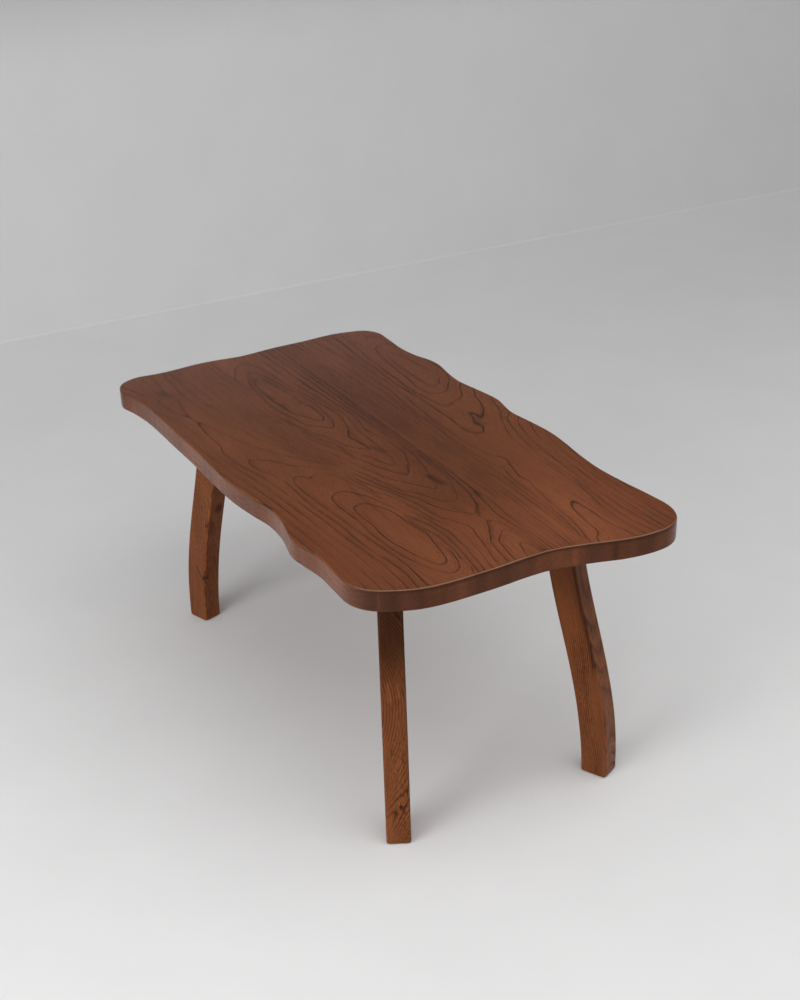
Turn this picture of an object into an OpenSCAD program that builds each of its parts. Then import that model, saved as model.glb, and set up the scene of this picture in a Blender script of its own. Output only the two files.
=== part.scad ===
// Low table: a free-form top of three edge-glued elm boards on four bowed legs.
// Sizes are in millimetres. X runs along the grain, Y from front to back, Z up from the floor.
// The origin is on the floor under the middle of the top's outline.

/* [Table] */
// Height of the table from the floor to the top face
table_height = 480; // [400:5:600]

/* [Top] */
// Length of the top between its two furthest points
top_length = 996; // [880:2:1200]
// Width of the top between its two furthest points
top_width = 547; // [500:1:680]
// Thickness of the boards
top_thick = 33; // [28:1:45]

/* [Boards and dowels] */
// Distance of the front glue line from the middle of the top
front_seam = 78; // [50:1:95]
// Distance of the back glue line from the middle of the top
back_seam = 56; // [40:1:95]
// Number of dowels in each glue line
dowel_count = 6; // [3:1:8]
// Diameter of a dowel
dowel_diameter = 10; // [6:1:14]
// Length of a dowel
dowel_length = 60; // [40:2:70]
// Bevel on the ends of a dowel
dowel_bevel = 1; // [0.5:0.5:2]
// Depth of the bore beyond each end of a dowel
dowel_well = 2; // [1:0.5:4]
// Distance of the outer dowels from the ends of the top
dowel_inset = 90; // [70:5:160]

/* [Legs] */
// Distance of the left feet's middle from the left end of the top
foot_inset_left = 88; // [80:1:140]
// Distance of the front right foot's middle from the right end of the top
foot_inset_front_right = 127; // [90:1:150]
// Distance of the back right foot's middle from the right end of the top
foot_inset_back_right = 110; // [90:1:150]
// Distance of the front feet's middle from the front side of the top
foot_inset_front = 108; // [85:1:120]
// Distance of the back feet's middle from the back side of the top
foot_inset_back = 79; // [75:1:110]
// Angle in plan between a left leg's plane of bend and the long side
leg_turn_left = 19.5; // [0:0.5:45]
// Angle in plan between a right leg's plane of bend and the long side
leg_turn_right = 26.5; // [0:0.5:45]
// Distance that the head of a leg stands further in than its foot
leg_sweep = 75; // [30:1:100]
// Power that moves the steepest stretch of a leg up its length
leg_bend = 1.15; // [0.9:0.05:1.5]
// Depth of a leg along its plane of bend
leg_depth = 48; // [42:1:58]
// Depth of a leg at the floor, along its plane of bend
foot_depth = 45; // [34:1:56]
// Height above the floor at which a leg reaches its full depth
ankle_height = 110; // [60:5:200]
// Thickness of a leg across its plane of bend
leg_thick = 38; // [32:1:48]
// Radius of a leg's long edges
leg_round = 4; // [1:0.5:8]
// Bevel round the foot of a leg
foot_bevel = 3; // [1:0.5:6]

/* [Leg joints] */
// Length of the tenon above its shoulder
tenon_length = 21; // [16:1:24]
// Depth of the tenon along the leg's plane of bend, at its shoulder
tenon_depth = 34; // [26:1:38]
// Thickness of the tenon across the leg's plane of bend
tenon_thick = 24; // [16:1:28]
// Depth of the mortise below the end of the tenon
mortise_well = 1; // [0.5:0.5:3]
// Width of the saw cut that takes the hidden wedge
saw_cut = 1.6; // [1:0.2:2.4]
// Depth of the saw cut from the end of the tenon
saw_depth = 18; // [12:1:19]
// Thickness of the wedge at its driven end
wedge_thick = 4; // [3:0.5:7]
// Gap for glue between the faces of a joint
glue_gap = 0.1; // [0.05:0.05:0.3]

/* [Hidden] */

$fn = 48;
underside = table_height - top_thick;
front_edge = -top_width / 2;
back_edge = top_width / 2;

// Outline of the top on its own sheet, anticlockwise from the right end.
right_end_points = [
    [478, -130], [477, -60], [473, 0], [475, 45], [488, 98], [501, 142], [506, 182], [502, 219], [483, 246]
];
back_side_points = [
    [449, 260], [404, 258], [349, 252], [284, 248], [227, 252], [169, 259], [126, 262], [80, 259],
    [30, 254], [0, 257], [-35, 263], [-75, 260], [-115, 254], [-150, 250], [-189, 254], [-234, 261],
    [-267, 258], [-304, 248], [-349, 243], [-399, 246], [-444, 247]
];
left_end_points = [
    [-473, 230], [-484, 199], [-489, 162], [-485, 110], [-483, 40], [-477, -20], [-477, -45],
    [-482, -90], [-482, -125], [-477, -164], [-476, -199], [-479, -238], [-463, -271]
];
front_side_points = [
    [-430, -284], [-389, -276], [-329, -269], [-229, -268], [-130, -267], [-50, -268], [30, -267],
    [90, -260], [140, -252], [189, -254], [244, -265], [279, -262], [324, -256], [369, -257],
    [411, -256], [442, -238], [463, -203], [474, -171]
];
sheet_points = concat(right_end_points, back_side_points, left_end_points, front_side_points);

// Straight steps that stand for the curve between two outline points
curve_steps = 5;
// Steps in the quarter circle of a leg's long edge
leg_round_steps = 2;
// Rings from the floor to the head of a leg
leg_rings = 28;
// Step in height that the lean of a leg is taken over
lean_step = 1;
// Depth to which the shape of a tenon runs on into its leg
tenon_root = 10;
// Reach of a cut beyond the face that it opens
cut_reach = 1;

// Catmull-Rom curve through b and c, whose neighbours are a and d, at t from 0 to 1.
function curve_point(a, b, c, d, t) =
    0.5 * (2 * b + (c - a) * t + (2 * a - 5 * b + 4 * c - d) * t * t + (3 * b - a - 3 * c + d) * t * t * t);

// Closed curve through all points, with even steps between neighbours.
function closed_curve(points, steps) =
    let (n = len(points))
    [
        for (i = [0 : n - 1])
            for (k = [0 : steps - 1])
                curve_point(points[(i + n - 1) % n], points[i], points[(i + 1) % n], points[(i + 2) % n], k / steps)
    ];

// The curve moved and stretched so that its furthest points span length and width about the origin.
function fitted(points, length, width) =
    let (
        left = min([for (p = points) p.x]),
        right = max([for (p = points) p.x]),
        front = min([for (p = points) p.y]),
        back = max([for (p = points) p.y])
    )
    [
        for (p = points)
            [
                (p.x - (left + right) / 2) * length / (right - left),
                (p.y - (front + back) / 2) * width / (back - front)
            ]
    ];

top_outline = fitted(closed_curve(sheet_points, curve_steps), top_length, top_width);

// Rings of equal length joined into one closed skin, with flat ends.
module skin(rings) {
    count = len(rings[0]);
    last = len(rings) - 1;
    sides = [
        for (r = [0 : last - 1])
            for (i = [0 : count - 1])
                let (j = (i + 1) % count)
                each [
                    [r * count + i, (r + 1) * count + i, (r + 1) * count + j],
                    [r * count + i, (r + 1) * count + j, r * count + j]
                ]
    ];
    bottom = [for (i = [0 : count - 1]) i];
    top = [for (i = [count - 1 : -1 : 0]) last * count + i];
    polyhedron(points = [for (ring = rings) each ring], faces = concat([bottom], sides, [top]));
}

// Places children at each dowel of a glue line, lying across it.
module at_dowels(seam) {
    reach = top_length / 2 - dowel_inset;
    pitch = 2 * reach / (dowel_count - 1);
    for (i = [0 : dowel_count - 1])
        translate([i * pitch - reach, seam, table_height - top_thick / 2])
            rotate([90, 0, 0])
                children();
}

module dowel() {
    half = dowel_length / 2;
    radius = dowel_diameter / 2;
    rotate_extrude()
        polygon([
            [0, -half], [radius - dowel_bevel, -half], [radius, dowel_bevel - half],
            [radius, half - dowel_bevel], [radius - dowel_bevel, half], [0, half]
        ]);
}

module dowel_bore() {
    depth = dowel_length + 2 * dowel_well;
    cylinder(h = depth, d = dowel_diameter + 2 * glue_gap, center = true);
}

// Places children at a foot, with X pointing out along the leg's plane of bend.
// side_x is 1 at the right end and -1 at the left, side_y is 1 at the back and -1 at the front.
module at_foot(side_x, side_y) {
    inset_right = side_y > 0 ? foot_inset_back_right : foot_inset_front_right;
    foot_x = side_x > 0 ? top_length / 2 - inset_right : foot_inset_left - top_length / 2;
    foot_y = side_y > 0 ? back_edge - foot_inset_back : front_edge + foot_inset_front;
    turn = side_x > 0 ? leg_turn_right : leg_turn_left;
    translate([foot_x, foot_y, 0])
        rotate([0, 0, atan2(side_y * sin(turn), side_x * cos(turn))])
            children();
}

// Smooth step from 0 to 1 that starts and ends level.
function ease(t) = t * t * (3 - 2 * t);

// Middle of the leg at a height, measured out from the middle of the foot.
function leg_middle(height) = -leg_sweep * ease(pow(height / underside, leg_bend));

// Lean of the leg at a height, as a slope, by the difference over one step up and down.
function leg_lean(height) =
    let (
        low = max(0, height - lean_step),
        high = min(underside, height + lean_step)
    )
    (height <= 0 || height >= underside) ? 0 : (leg_middle(high) - leg_middle(low)) / (high - low);

// Depth of the leg at a height, square to its own run.
function leg_depth_at(height) = foot_depth + (leg_depth - foot_depth) * ease(min(1, height / ankle_height));

// Corner points of a rectangle with rounded corners, anticlockwise.
function rounded_rectangle(depth, thick, radius) =
    [
        for (corner = [0 : 3])
            for (k = [0 : leg_round_steps])
                let (
                    side_u = corner == 0 || corner == 3 ? 1 : -1,
                    side_v = corner < 2 ? 1 : -1,
                    a = 90 * corner + 90 * k / leg_round_steps
                )
                [
                    side_u * (depth / 2 - radius) + radius * cos(a),
                    side_v * (thick / 2 - radius) + radius * sin(a)
                ]
    ];

// Section of the leg at a height, drawn in all round by a bevel and set square to the leg's run.
function leg_ring(height, bevel) =
    let (
        lean = leg_lean(height),
        run = norm([1, lean]),
        section = rounded_rectangle(leg_depth_at(height) - 2 * bevel, leg_thick - 2 * bevel, leg_round)
    )
    [
        for (p = section)
            [leg_middle(height) + p.x / run, p.y, height - p.x * lean / run]
    ];

// Shape of the tenon seen across the leg's plane of bend, with its sides spread by the wedge.
module tenon_outline(gap, root, length) {
    spread = (wedge_thick - saw_cut) / 2;
    shoulder_half = tenon_depth / 2 + gap;
    end_half = shoulder_half + spread;
    polygon([
        [-shoulder_half, -root], [shoulder_half, -root], [shoulder_half, 0], [end_half, tenon_length],
        [end_half, length], [-end_half, length], [-end_half, tenon_length], [-shoulder_half, 0]
    ]);
}

// Saw cut in the tenon, opened into a V by the wedge.
module saw_cut_outline() {
    polygon([
        [-saw_cut / 2, tenon_length - saw_depth], [saw_cut / 2, tenon_length - saw_depth],
        [wedge_thick / 2, tenon_length], [wedge_thick / 2, tenon_length + cut_reach],
        [-wedge_thick / 2, tenon_length + cut_reach], [-wedge_thick / 2, tenon_length]
    ]);
}

// Wedge whose thick end stands on the floor of the mortise.
module wedge_outline() {
    thin_half = saw_cut / 2 - glue_gap;
    thick_half = wedge_thick / 2 - glue_gap;
    polygon([
        [-thin_half, tenon_length - saw_depth], [thin_half, tenon_length - saw_depth],
        [thick_half, tenon_length], [thick_half, tenon_length + mortise_well],
        [-thick_half, tenon_length + mortise_well], [-thick_half, tenon_length]
    ]);
}

// Stands an outline upright in the leg's plane of bend at the head of the leg, with a thickness across it.
module at_head(thick) {
    translate([-leg_sweep, thick / 2, underside])
        rotate([90, 0, 0])
            linear_extrude(height = thick)
                children();
}

// Leg that stands upright on the floor, leans in and comes upright again under the top.
module bowed_leg() {
    rings = concat(
        [leg_ring(0, foot_bevel)],
        [for (k = [0 : leg_rings]) leg_ring(foot_bevel + (underside - foot_bevel) * k / leg_rings, 0)]
    );
    skin(rings);
    difference() {
        at_head(tenon_thick) tenon_outline(0, tenon_root, tenon_length);
        at_head(tenon_thick + 2 * cut_reach) saw_cut_outline();
    }
}

module mortise() {
    at_head(tenon_thick + 2 * glue_gap) tenon_outline(glue_gap, cut_reach, tenon_length + mortise_well);
}

module hidden_wedge() {
    at_head(tenon_thick) wedge_outline();
}

// One board of the top: the part of the outline between two lines along the grain.
module board(from, to) {
    difference() {
        translate([0, 0, underside])
            linear_extrude(height = top_thick)
                intersection() {
                    polygon(top_outline);
                    translate([-top_length, from])
                        square([2 * top_length, to - from]);
                }
        for (seam = [-front_seam, back_seam])
            at_dowels(seam) dowel_bore();
        for (side_x = [-1, 1])
            for (side_y = [-1, 1])
                at_foot(side_x, side_y) mortise();
    }
}

module board_front() {
    color("#6e4230") board(front_edge, -front_seam);
}

module board_middle() {
    color("#744836") board(-front_seam, back_seam);
}

module board_back() {
    color("#7a4c38") board(back_seam, back_edge);
}

module dowels_front_joint() {
    color("#c9a877") at_dowels(-front_seam) dowel();
}

module dowels_back_joint() {
    color("#c9a877") at_dowels(back_seam) dowel();
}

module leg_front_left() {
    color("#6b4128") at_foot(-1, -1) bowed_leg();
}

module leg_front_right() {
    color("#6b4128") at_foot(1, -1) bowed_leg();
}

module leg_back_left() {
    color("#6b4128") at_foot(-1, 1) bowed_leg();
}

module leg_back_right() {
    color("#6b4128") at_foot(1, 1) bowed_leg();
}

module wedge_front_left() {
    color("#b08a5a") at_foot(-1, -1) hidden_wedge();
}

module wedge_front_right() {
    color("#b08a5a") at_foot(1, -1) hidden_wedge();
}

module wedge_back_left() {
    color("#b08a5a") at_foot(-1, 1) hidden_wedge();
}

module wedge_back_right() {
    color("#b08a5a") at_foot(1, 1) hidden_wedge();
}

board_front();
board_middle();
board_back();
dowels_front_joint();
dowels_back_joint();
leg_front_left();
leg_front_right();
leg_back_left();
leg_back_right();
wedge_front_left();
wedge_front_right();
wedge_back_left();
wedge_back_right();
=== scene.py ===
"""Looks for a low side table: a free-form top of three glued elm boards on four bowed legs.

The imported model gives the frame. Each board and leg is replaced by a smooth piece of the same size,
and the dowels and wedges inside the joints keep their own shape and get a bare-wood finish.
"""
import logging
import math
from dataclasses import dataclass
from enum import Enum

import bpy
import numpy as np
from mathutils import Matrix


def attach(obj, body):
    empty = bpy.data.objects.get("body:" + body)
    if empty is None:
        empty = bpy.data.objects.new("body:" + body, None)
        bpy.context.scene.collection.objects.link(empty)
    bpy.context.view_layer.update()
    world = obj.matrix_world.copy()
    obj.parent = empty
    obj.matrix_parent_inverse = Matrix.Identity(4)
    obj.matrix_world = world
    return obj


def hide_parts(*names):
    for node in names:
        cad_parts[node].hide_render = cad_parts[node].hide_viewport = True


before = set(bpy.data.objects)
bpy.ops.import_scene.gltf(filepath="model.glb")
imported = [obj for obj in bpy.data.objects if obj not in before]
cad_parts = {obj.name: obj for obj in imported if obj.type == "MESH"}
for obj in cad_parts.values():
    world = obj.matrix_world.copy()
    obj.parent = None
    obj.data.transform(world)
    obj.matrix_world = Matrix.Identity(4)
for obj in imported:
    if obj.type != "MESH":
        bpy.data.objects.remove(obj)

log = logging.getLogger("side_table")

MM = 0.001
TABLE_HEIGHT = 480.0
TOP_THICK = 33.0
UNDERSIDE = TABLE_HEIGHT - TOP_THICK
FRONT_SEAM = -78.0
BACK_SEAM = 56.0
TONE_LEAST = 0.2
TONE_MOST = 2.0

Socket = bpy.types.NodeSocket
Colour = tuple[float, float, float]
Points = tuple[tuple[float, float], ...]
Cells = tuple[float, float, float]


@dataclass(frozen=True)
class GrowthLine:
    """A growth line on a board's face.

    Fields: its ring number, how dark it shows from 0 to 1, and points along it in millimetres.
    A line of one or a few points with a broken number only sets the height between two lines.
    """

    ring: float
    dark: float
    points: Points


# Growth lines of the back board, drawn after the figure in the photograph
BACK_BOARD_LINES = (
    GrowthLine(5, 0.7, (
        (-349, 222), (-345, 215), (-335, 210), (-320, 209), (-305, 206), (-285, 203), (-260, 202),
        (-230, 203), (-200, 201), (-180, 201), (-162, 204), (-155, 209), (-158, 218), (-165, 226),
        (-178, 234), (-195, 239), (-220, 240), (-250, 238), (-285, 237), (-320, 234), (-340, 229),
        (-349, 222),
    )),
    GrowthLine(4, 0.9, (
        (-172, 250), (-158, 240), (-144, 231), (-131, 223), (-125, 213), (-122, 203), (-125, 194),
        (-133, 188), (-150, 185), (-180, 183), (-200, 186), (-240, 190), (-290, 195), (-340, 201),
        (-380, 210), (-396, 225), (-390, 240),
    )),
    GrowthLine(3, 0.8, (
        (-130, 246), (-110, 238), (-95, 231), (-85, 222), (-78, 208), (-70, 195), (-65, 185), (-70, 177),
        (-85, 174), (-110, 172), (-150, 168), (-190, 166), (-225, 169), (-260, 170), (-300, 174),
        (-350, 175), (-385, 181), (-430, 184), (-480, 188),
    )),
    GrowthLine(2, 0.9, (
        (-75, 247), (-55, 241), (-40, 236), (-25, 230), (-10, 222), (0, 214), (7, 207), (0, 203),
        (-10, 206), (-24, 203), (-16, 197), (0, 195), (12, 187), (20, 182), (30, 190), (45, 190),
        (56, 183), (65, 176), (61, 165), (50, 158), (30, 157), (0, 159), (-30, 162), (-60, 160),
        (-110, 161), (-160, 160), (-200, 157), (-300, 162), (-400, 166), (-480, 171),
    )),
    GrowthLine(2, 0.9, (
        (490, 169), (465, 167), (445, 161), (425, 160), (400, 162), (372, 158), (357, 156), (352, 152),
        (362, 149), (372, 145), (400, 140), (430, 136), (445, 134), (456, 130), (463, 125), (469, 117),
    )),
    GrowthLine(1, 0.5, (
        (0, 250), (18, 242), (40, 230), (60, 222), (80, 212), (100, 206), (125, 202), (160, 200),
        (180, 195), (200, 194), (230, 199), (260, 198), (300, 197), (330, 195), (350, 192), (370, 187),
        (400, 183), (440, 182), (490, 186),
    )),
    GrowthLine(1, 0.6, (
        (-480, 150), (-385, 151), (-350, 148), (-300, 149), (-200, 146), (-150, 143), (-100, 138),
        (-50, 134), (0, 131), (60, 132), (90, 133), (120, 137), (140, 138), (155, 147), (170, 153),
        (178, 154), (187, 148), (200, 144), (215, 142), (228, 136), (238, 135), (250, 142), (262, 142),
        (275, 136), (300, 131), (340, 126), (370, 123), (400, 120), (440, 112), (465, 105),
    )),
    GrowthLine(0, 0.7, (
        (30, 241), (50, 236), (80, 227), (100, 221), (130, 215), (160, 210), (200, 205), (250, 204),
        (300, 203), (340, 201), (365, 197), (400, 193), (430, 192), (455, 195), (492, 201),
    )),
    GrowthLine(0, 0.5, (
        (-480, 131), (-400, 133), (-350, 138), (-310, 136), (-240, 135), (-160, 133), (-140, 129),
        (-100, 124), (-60, 122), (-20, 124), (30, 122), (60, 118), (100, 118), (130, 121), (180, 127),
        (210, 130), (226, 125), (260, 121), (300, 121), (340, 119), (380, 114), (440, 105), (465, 98),
    )),
    GrowthLine(-1, 0.5, (
        (70, 244), (100, 236), (125, 230), (150, 227), (180, 222), (240, 217), (300, 212), (400, 207),
        (490, 213),
    )),
    GrowthLine(-1, 0.3, (
        (-480, 113), (-400, 117), (-300, 119), (-200, 121), (-160, 122), (-120, 118), (-80, 115),
        (-20, 114), (60, 108), (200, 115), (300, 113), (390, 107), (460, 96),
    )),
    GrowthLine(-2, 0.4, (
        (140, 242), (200, 233), (260, 228), (340, 222), (480, 222),
    )),
    GrowthLine(-2, 0.3, (
        (-480, 99), (-300, 104), (-100, 105), (60, 98), (200, 103), (300, 105), (390, 101), (460, 90),
    )),
    GrowthLine(-3, 0.3, (
        (210, 244), (300, 236), (400, 232), (470, 233),
    )),
    GrowthLine(-3, 0.3, (
        (-480, 88), (-300, 93), (0, 92), (230, 94), (360, 88), (460, 83),
    )),
    GrowthLine(-4, 0.2, (
        (300, 246), (450, 243),
    )),
    GrowthLine(-4, 0.2, (
        (-480, 80), (0, 84), (240, 86), (460, 76),
    )),
    GrowthLine(-5, 0.2, (
        (-480, 72), (0, 75), (240, 77), (460, 70),
    )),
    GrowthLine(-6, 0.2, (
        (-480, 64), (0, 66), (240, 67), (460, 63),
    )),
    GrowthLine(-7, 0.2, (
        (-480, 54), (0, 54), (460, 54),
    )),
    GrowthLine(5.6, 0.2, (
        (-300, 220), (-240, 220), (-190, 220),
    )),
    GrowthLine(2.6, 0.2, (
        (-20, 180),
    )),
    GrowthLine(1.5, 0.2, (
        (100, 175), (200, 172), (290, 165),
    )),
    GrowthLine(2.6, 0.2, (
        (440, 148),
    )),
)

# Growth lines of the middle board
MIDDLE_BOARD_LINES = (
    GrowthLine(6, 0.8, (
        (-363, -39), (-345, -34), (-320, -28), (-300, -27), (-280, -24), (-260, -20), (-240, -22),
        (-220, -24), (-200, -20), (-180, -16), (-160, -16), (-145, -17), (-132, -21), (-122, -27),
        (-130, -33), (-140, -38), (-150, -43), (-160, -47), (-170, -52), (-183, -56), (-200, -59),
        (-215, -57), (-228, -60), (-240, -63), (-270, -62), (-300, -62), (-330, -60), (-345, -55),
        (-355, -47), (-363, -39),
    )),
    GrowthLine(5, 0.8, (
        (-398, -38), (-360, -26), (-320, -19), (-280, -16), (-250, -10), (-220, -7), (-200, -5),
        (-185, -7), (-160, -9), (-140, -10), (-120, -12), (-100, -18), (-90, -21), (-87, -26), (-95, -32),
        (-105, -42), (-113, -52), (-120, -57), (-140, -61), (-160, -64), (-175, -68), (-190, -71),
        (-210, -75), (-230, -76), (-250, -74), (-280, -70), (-300, -69), (-330, -66), (-360, -60),
        (-380, -51), (-398, -38),
    )),
    GrowthLine(4, 0.7, (
        (-442, -28), (-400, -16), (-350, -10), (-300, -8), (-250, -2), (-200, 2), (-150, 8), (-120, 6),
        (-100, 3), (-80, -2), (-62, -8), (-50, -16), (-35, -20), (-20, -17), (0, -14), (20, -11),
        (30, -12), (20, -17), (14, -24), (5, -33), (-20, -41), (-50, -50), (-70, -58), (-90, -66),
        (-130, -74), (-160, -78),
    )),
    GrowthLine(4, 0.6, (
        (-442, -28), (-437, -45), (-428, -57), (-410, -64), (-390, -74), (-375, -79),
    )),
    GrowthLine(3, 0.4, (
        (-480, 0), (-400, 3), (-300, 6), (-200, 12), (-150, 16), (-100, 14), (-50, 6), (0, 5), (40, 3),
        (75, 1), (90, -4), (97, -10), (90, -16), (60, -24), (30, -36), (0, -46), (-40, -58), (-90, -74),
    )),
    GrowthLine(2, 0.5, (
        (-480, 16), (-300, 20), (-140, 28), (-110, 27), (-80, 22), (-50, 18), (-20, 22), (20, 28),
        (60, 28), (80, 22), (100, 15), (120, 3), (134, -3), (140, -8), (134, -14), (120, -20), (100, -30),
        (80, -38), (60, -42), (40, -48), (0, -58), (-40, -72),
    )),
    GrowthLine(1, 0.7, (
        (-480, 30), (-300, 33), (-100, 36), (0, 38), (80, 37), (120, 30), (140, 24), (160, 18), (180, 12),
        (195, 14), (204, 8), (208, 0), (195, -4), (185, -12), (170, -20), (150, -30), (140, -38),
        (100, -50), (60, -60), (20, -70),
    )),
    GrowthLine(0, 0.6, (
        (-480, 43), (-300, 44), (-100, 45), (60, 45), (160, 42), (200, 38), (215, 28), (235, 24),
        (250, 18), (258, 8), (257, -1), (250, -8), (240, -13), (225, -18), (205, -29), (190, -42),
        (150, -54), (100, -66), (60, -74),
    )),
    GrowthLine(-1, 1.0, (
        (-480, 53), (-100, 53), (160, 49), (240, 41), (280, 32), (295, 25), (305, 16), (310, 9), (300, 0),
        (290, -10), (280, -16), (265, -24), (250, -30), (220, -36), (190, -52), (150, -64), (100, -76),
    )),
    GrowthLine(-1, 0.9, (
        (463, 35), (400, 36), (365, 30), (350, 26), (340, 18), (330, 15), (320, 12), (335, 13), (350, 9),
        (365, 3), (378, -2), (390, -10), (405, -18), (420, -20), (440, -24), (465, -27),
    )),
    GrowthLine(0, 0.7, (
        (463, 32), (400, 31), (378, 24), (378, 15), (388, 9), (393, 1), (405, -5), (420, -8), (440, -12),
        (465, -16),
    )),
    GrowthLine(1, 0.7, (
        (465, 30), (450, 30), (435, 27), (424, 20), (435, 14), (450, 10), (465, 5),
    )),
    GrowthLine(-2, 0.8, (
        (150, -72), (180, -60), (220, -50), (250, -45), (275, -42), (300, -37), (318, -26), (330, -20),
        (345, -17), (360, -18), (372, -22), (390, -25), (410, -30), (430, -36), (465, -44),
    )),
    GrowthLine(-3, 0.5, (
        (180, -74), (200, -64), (250, -56), (290, -50), (325, -40), (348, -37), (370, -38), (400, -42),
        (465, -53),
    )),
    GrowthLine(-4, 0.5, (
        (250, -68), (290, -57), (340, -51), (380, -53), (410, -58), (465, -67),
    )),
    GrowthLine(-5, 0.4, (
        (270, -75), (320, -63), (350, -60), (386, -63), (465, -76),
    )),
    GrowthLine(-6, 0.3, (
        (320, -75), (350, -70), (400, -73),
    )),
    GrowthLine(6.5, 0.2, (
        (-310, -45), (-250, -43), (-180, -38),
    )),
    GrowthLine(1.5, 0.2, (
        (455, 18),
    )),
    GrowthLine(-1.5, 0.2, (
        (330, -3), (360, -8), (316, 30),
    )),
)

# Growth lines of the front board
FRONT_BOARD_LINES = (
    GrowthLine(3, 1.0, (
        (195, -122), (193, -112), (200, -106), (215, -98), (235, -91), (255, -88), (280, -86), (300, -82),
        (330, -80), (350, -84), (380, -88), (400, -92), (415, -97), (421, -104), (419, -112), (410, -118),
        (390, -124), (370, -129), (345, -132), (325, -137), (300, -138), (280, -136), (250, -135),
        (230, -137), (212, -136), (200, -132), (195, -122),
    )),
    GrowthLine(2, 0.7, (
        (300, -78), (255, -77), (240, -79), (220, -84), (200, -90), (180, -96), (165, -104), (150, -112),
        (141, -120), (140, -130), (145, -140), (152, -145), (170, -148), (200, -149), (225, -147),
        (250, -146), (300, -149), (340, -147), (380, -140), (415, -130), (440, -118), (448, -107),
        (445, -98), (435, -90), (420, -84), (400, -80), (370, -77),
    )),
    GrowthLine(1, 0.8, (
        (200, -80), (150, -90), (115, -98), (95, -101), (80, -106), (68, -115), (62, -125), (60, -136),
        (72, -140), (84, -141), (70, -144), (58, -150), (58, -160), (63, -168), (80, -172), (105, -174),
        (160, -170), (200, -166), (270, -163), (340, -155), (400, -151), (465, -154),
    )),
    GrowthLine(0, 0.9, (
        (180, -79), (150, -83), (120, -88), (80, -96), (62, -103), (50, -111), (38, -122), (28, -132),
        (20, -143), (0, -155), (-10, -160), (-25, -172), (-34, -185), (-38, -197), (-30, -202),
        (-15, -202), (0, -198), (20, -192), (40, -186), (60, -184), (80, -182), (120, -183), (180, -182),
        (230, -176), (300, -176), (340, -173), (370, -168), (400, -164), (430, -164), (455, -168),
    )),
    GrowthLine(-1, 0.8, (
        (100, -86), (60, -92), (20, -109), (5, -118), (-10, -126), (-25, -137), (-40, -148), (-55, -156),
        (-70, -162), (-90, -168), (-105, -173), (-115, -180), (-140, -184), (-160, -188), (-180, -195),
        (-200, -202), (-225, -207), (-200, -214), (-160, -216), (-125, -215), (-112, -215), (-100, -220),
        (-85, -223), (-60, -221), (-30, -217), (20, -206), (80, -200), (140, -195), (200, -190),
        (290, -186), (330, -181), (370, -178), (440, -180),
    )),
    GrowthLine(-1, 0.7, (
        (-475, -203), (-440, -205), (-400, -207), (-380, -211), (-370, -208), (-358, -202), (-345, -201),
        (-320, -206), (-290, -212), (-265, -219), (-285, -225), (-310, -230), (-340, -234), (-365, -232),
        (-380, -240),
    )),
    GrowthLine(-2, 0.7, (
        (60, -86), (20, -98), (-10, -114), (-30, -122), (-50, -129), (-70, -138), (-90, -143),
        (-110, -150), (-135, -156), (-160, -158), (-180, -163), (-200, -170), (-215, -175), (-240, -180),
        (-300, -183), (-340, -186), (-380, -187), (-400, -183), (-450, -180), (-475, -179),
    )),
    GrowthLine(-2, 0.4, (
        (-260, -240), (-200, -232), (-100, -234), (-30, -228), (60, -215), (200, -206), (340, -197),
        (430, -197),
    )),
    GrowthLine(-3, 0.3, (
        (40, -84), (0, -98), (-30, -112), (-70, -122), (-110, -133), (-160, -143), (-220, -156),
        (-300, -166), (-380, -171), (-475, -166),
    )),
    GrowthLine(-3, 0.3, (
        (-100, -246), (0, -238), (100, -226), (250, -216), (400, -212),
    )),
    GrowthLine(-4, 0.3, (
        (0, -86), (-30, -101), (-80, -112), (-130, -123), (-200, -136), (-300, -149), (-380, -154),
        (-475, -152),
    )),
    GrowthLine(-4, 0.3, (
        (60, -246), (150, -236), (300, -229), (400, -228),
    )),
    GrowthLine(-5, 0.3, (
        (-30, -90), (-80, -102), (-150, -115), (-220, -125), (-300, -133), (-475, -138),
    )),
    GrowthLine(-6, 0.2, (
        (-60, -88), (-130, -102), (-220, -112), (-300, -118), (-475, -124),
    )),
    GrowthLine(-7, 0.2, (
        (-110, -88), (-200, -98), (-300, -104), (-475, -110),
    )),
    GrowthLine(-8, 0.2, (
        (-160, -82), (-240, -86), (-300, -90), (-475, -96),
    )),
    GrowthLine(-9, 0.2, (
        (-300, -78), (-475, -84),
    )),
    GrowthLine(3.5, 0.2, (
        (240, -112), (310, -108), (380, -106),
    )),
    GrowthLine(1.4, 0.2, (
        (105, -133),
    )),
    GrowthLine(-0.6, 0.2, (
        (-330, -218), (-440, -230),
    )),
    GrowthLine(0.5, 0.2, (
        (20, -172),
    )),
)


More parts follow.
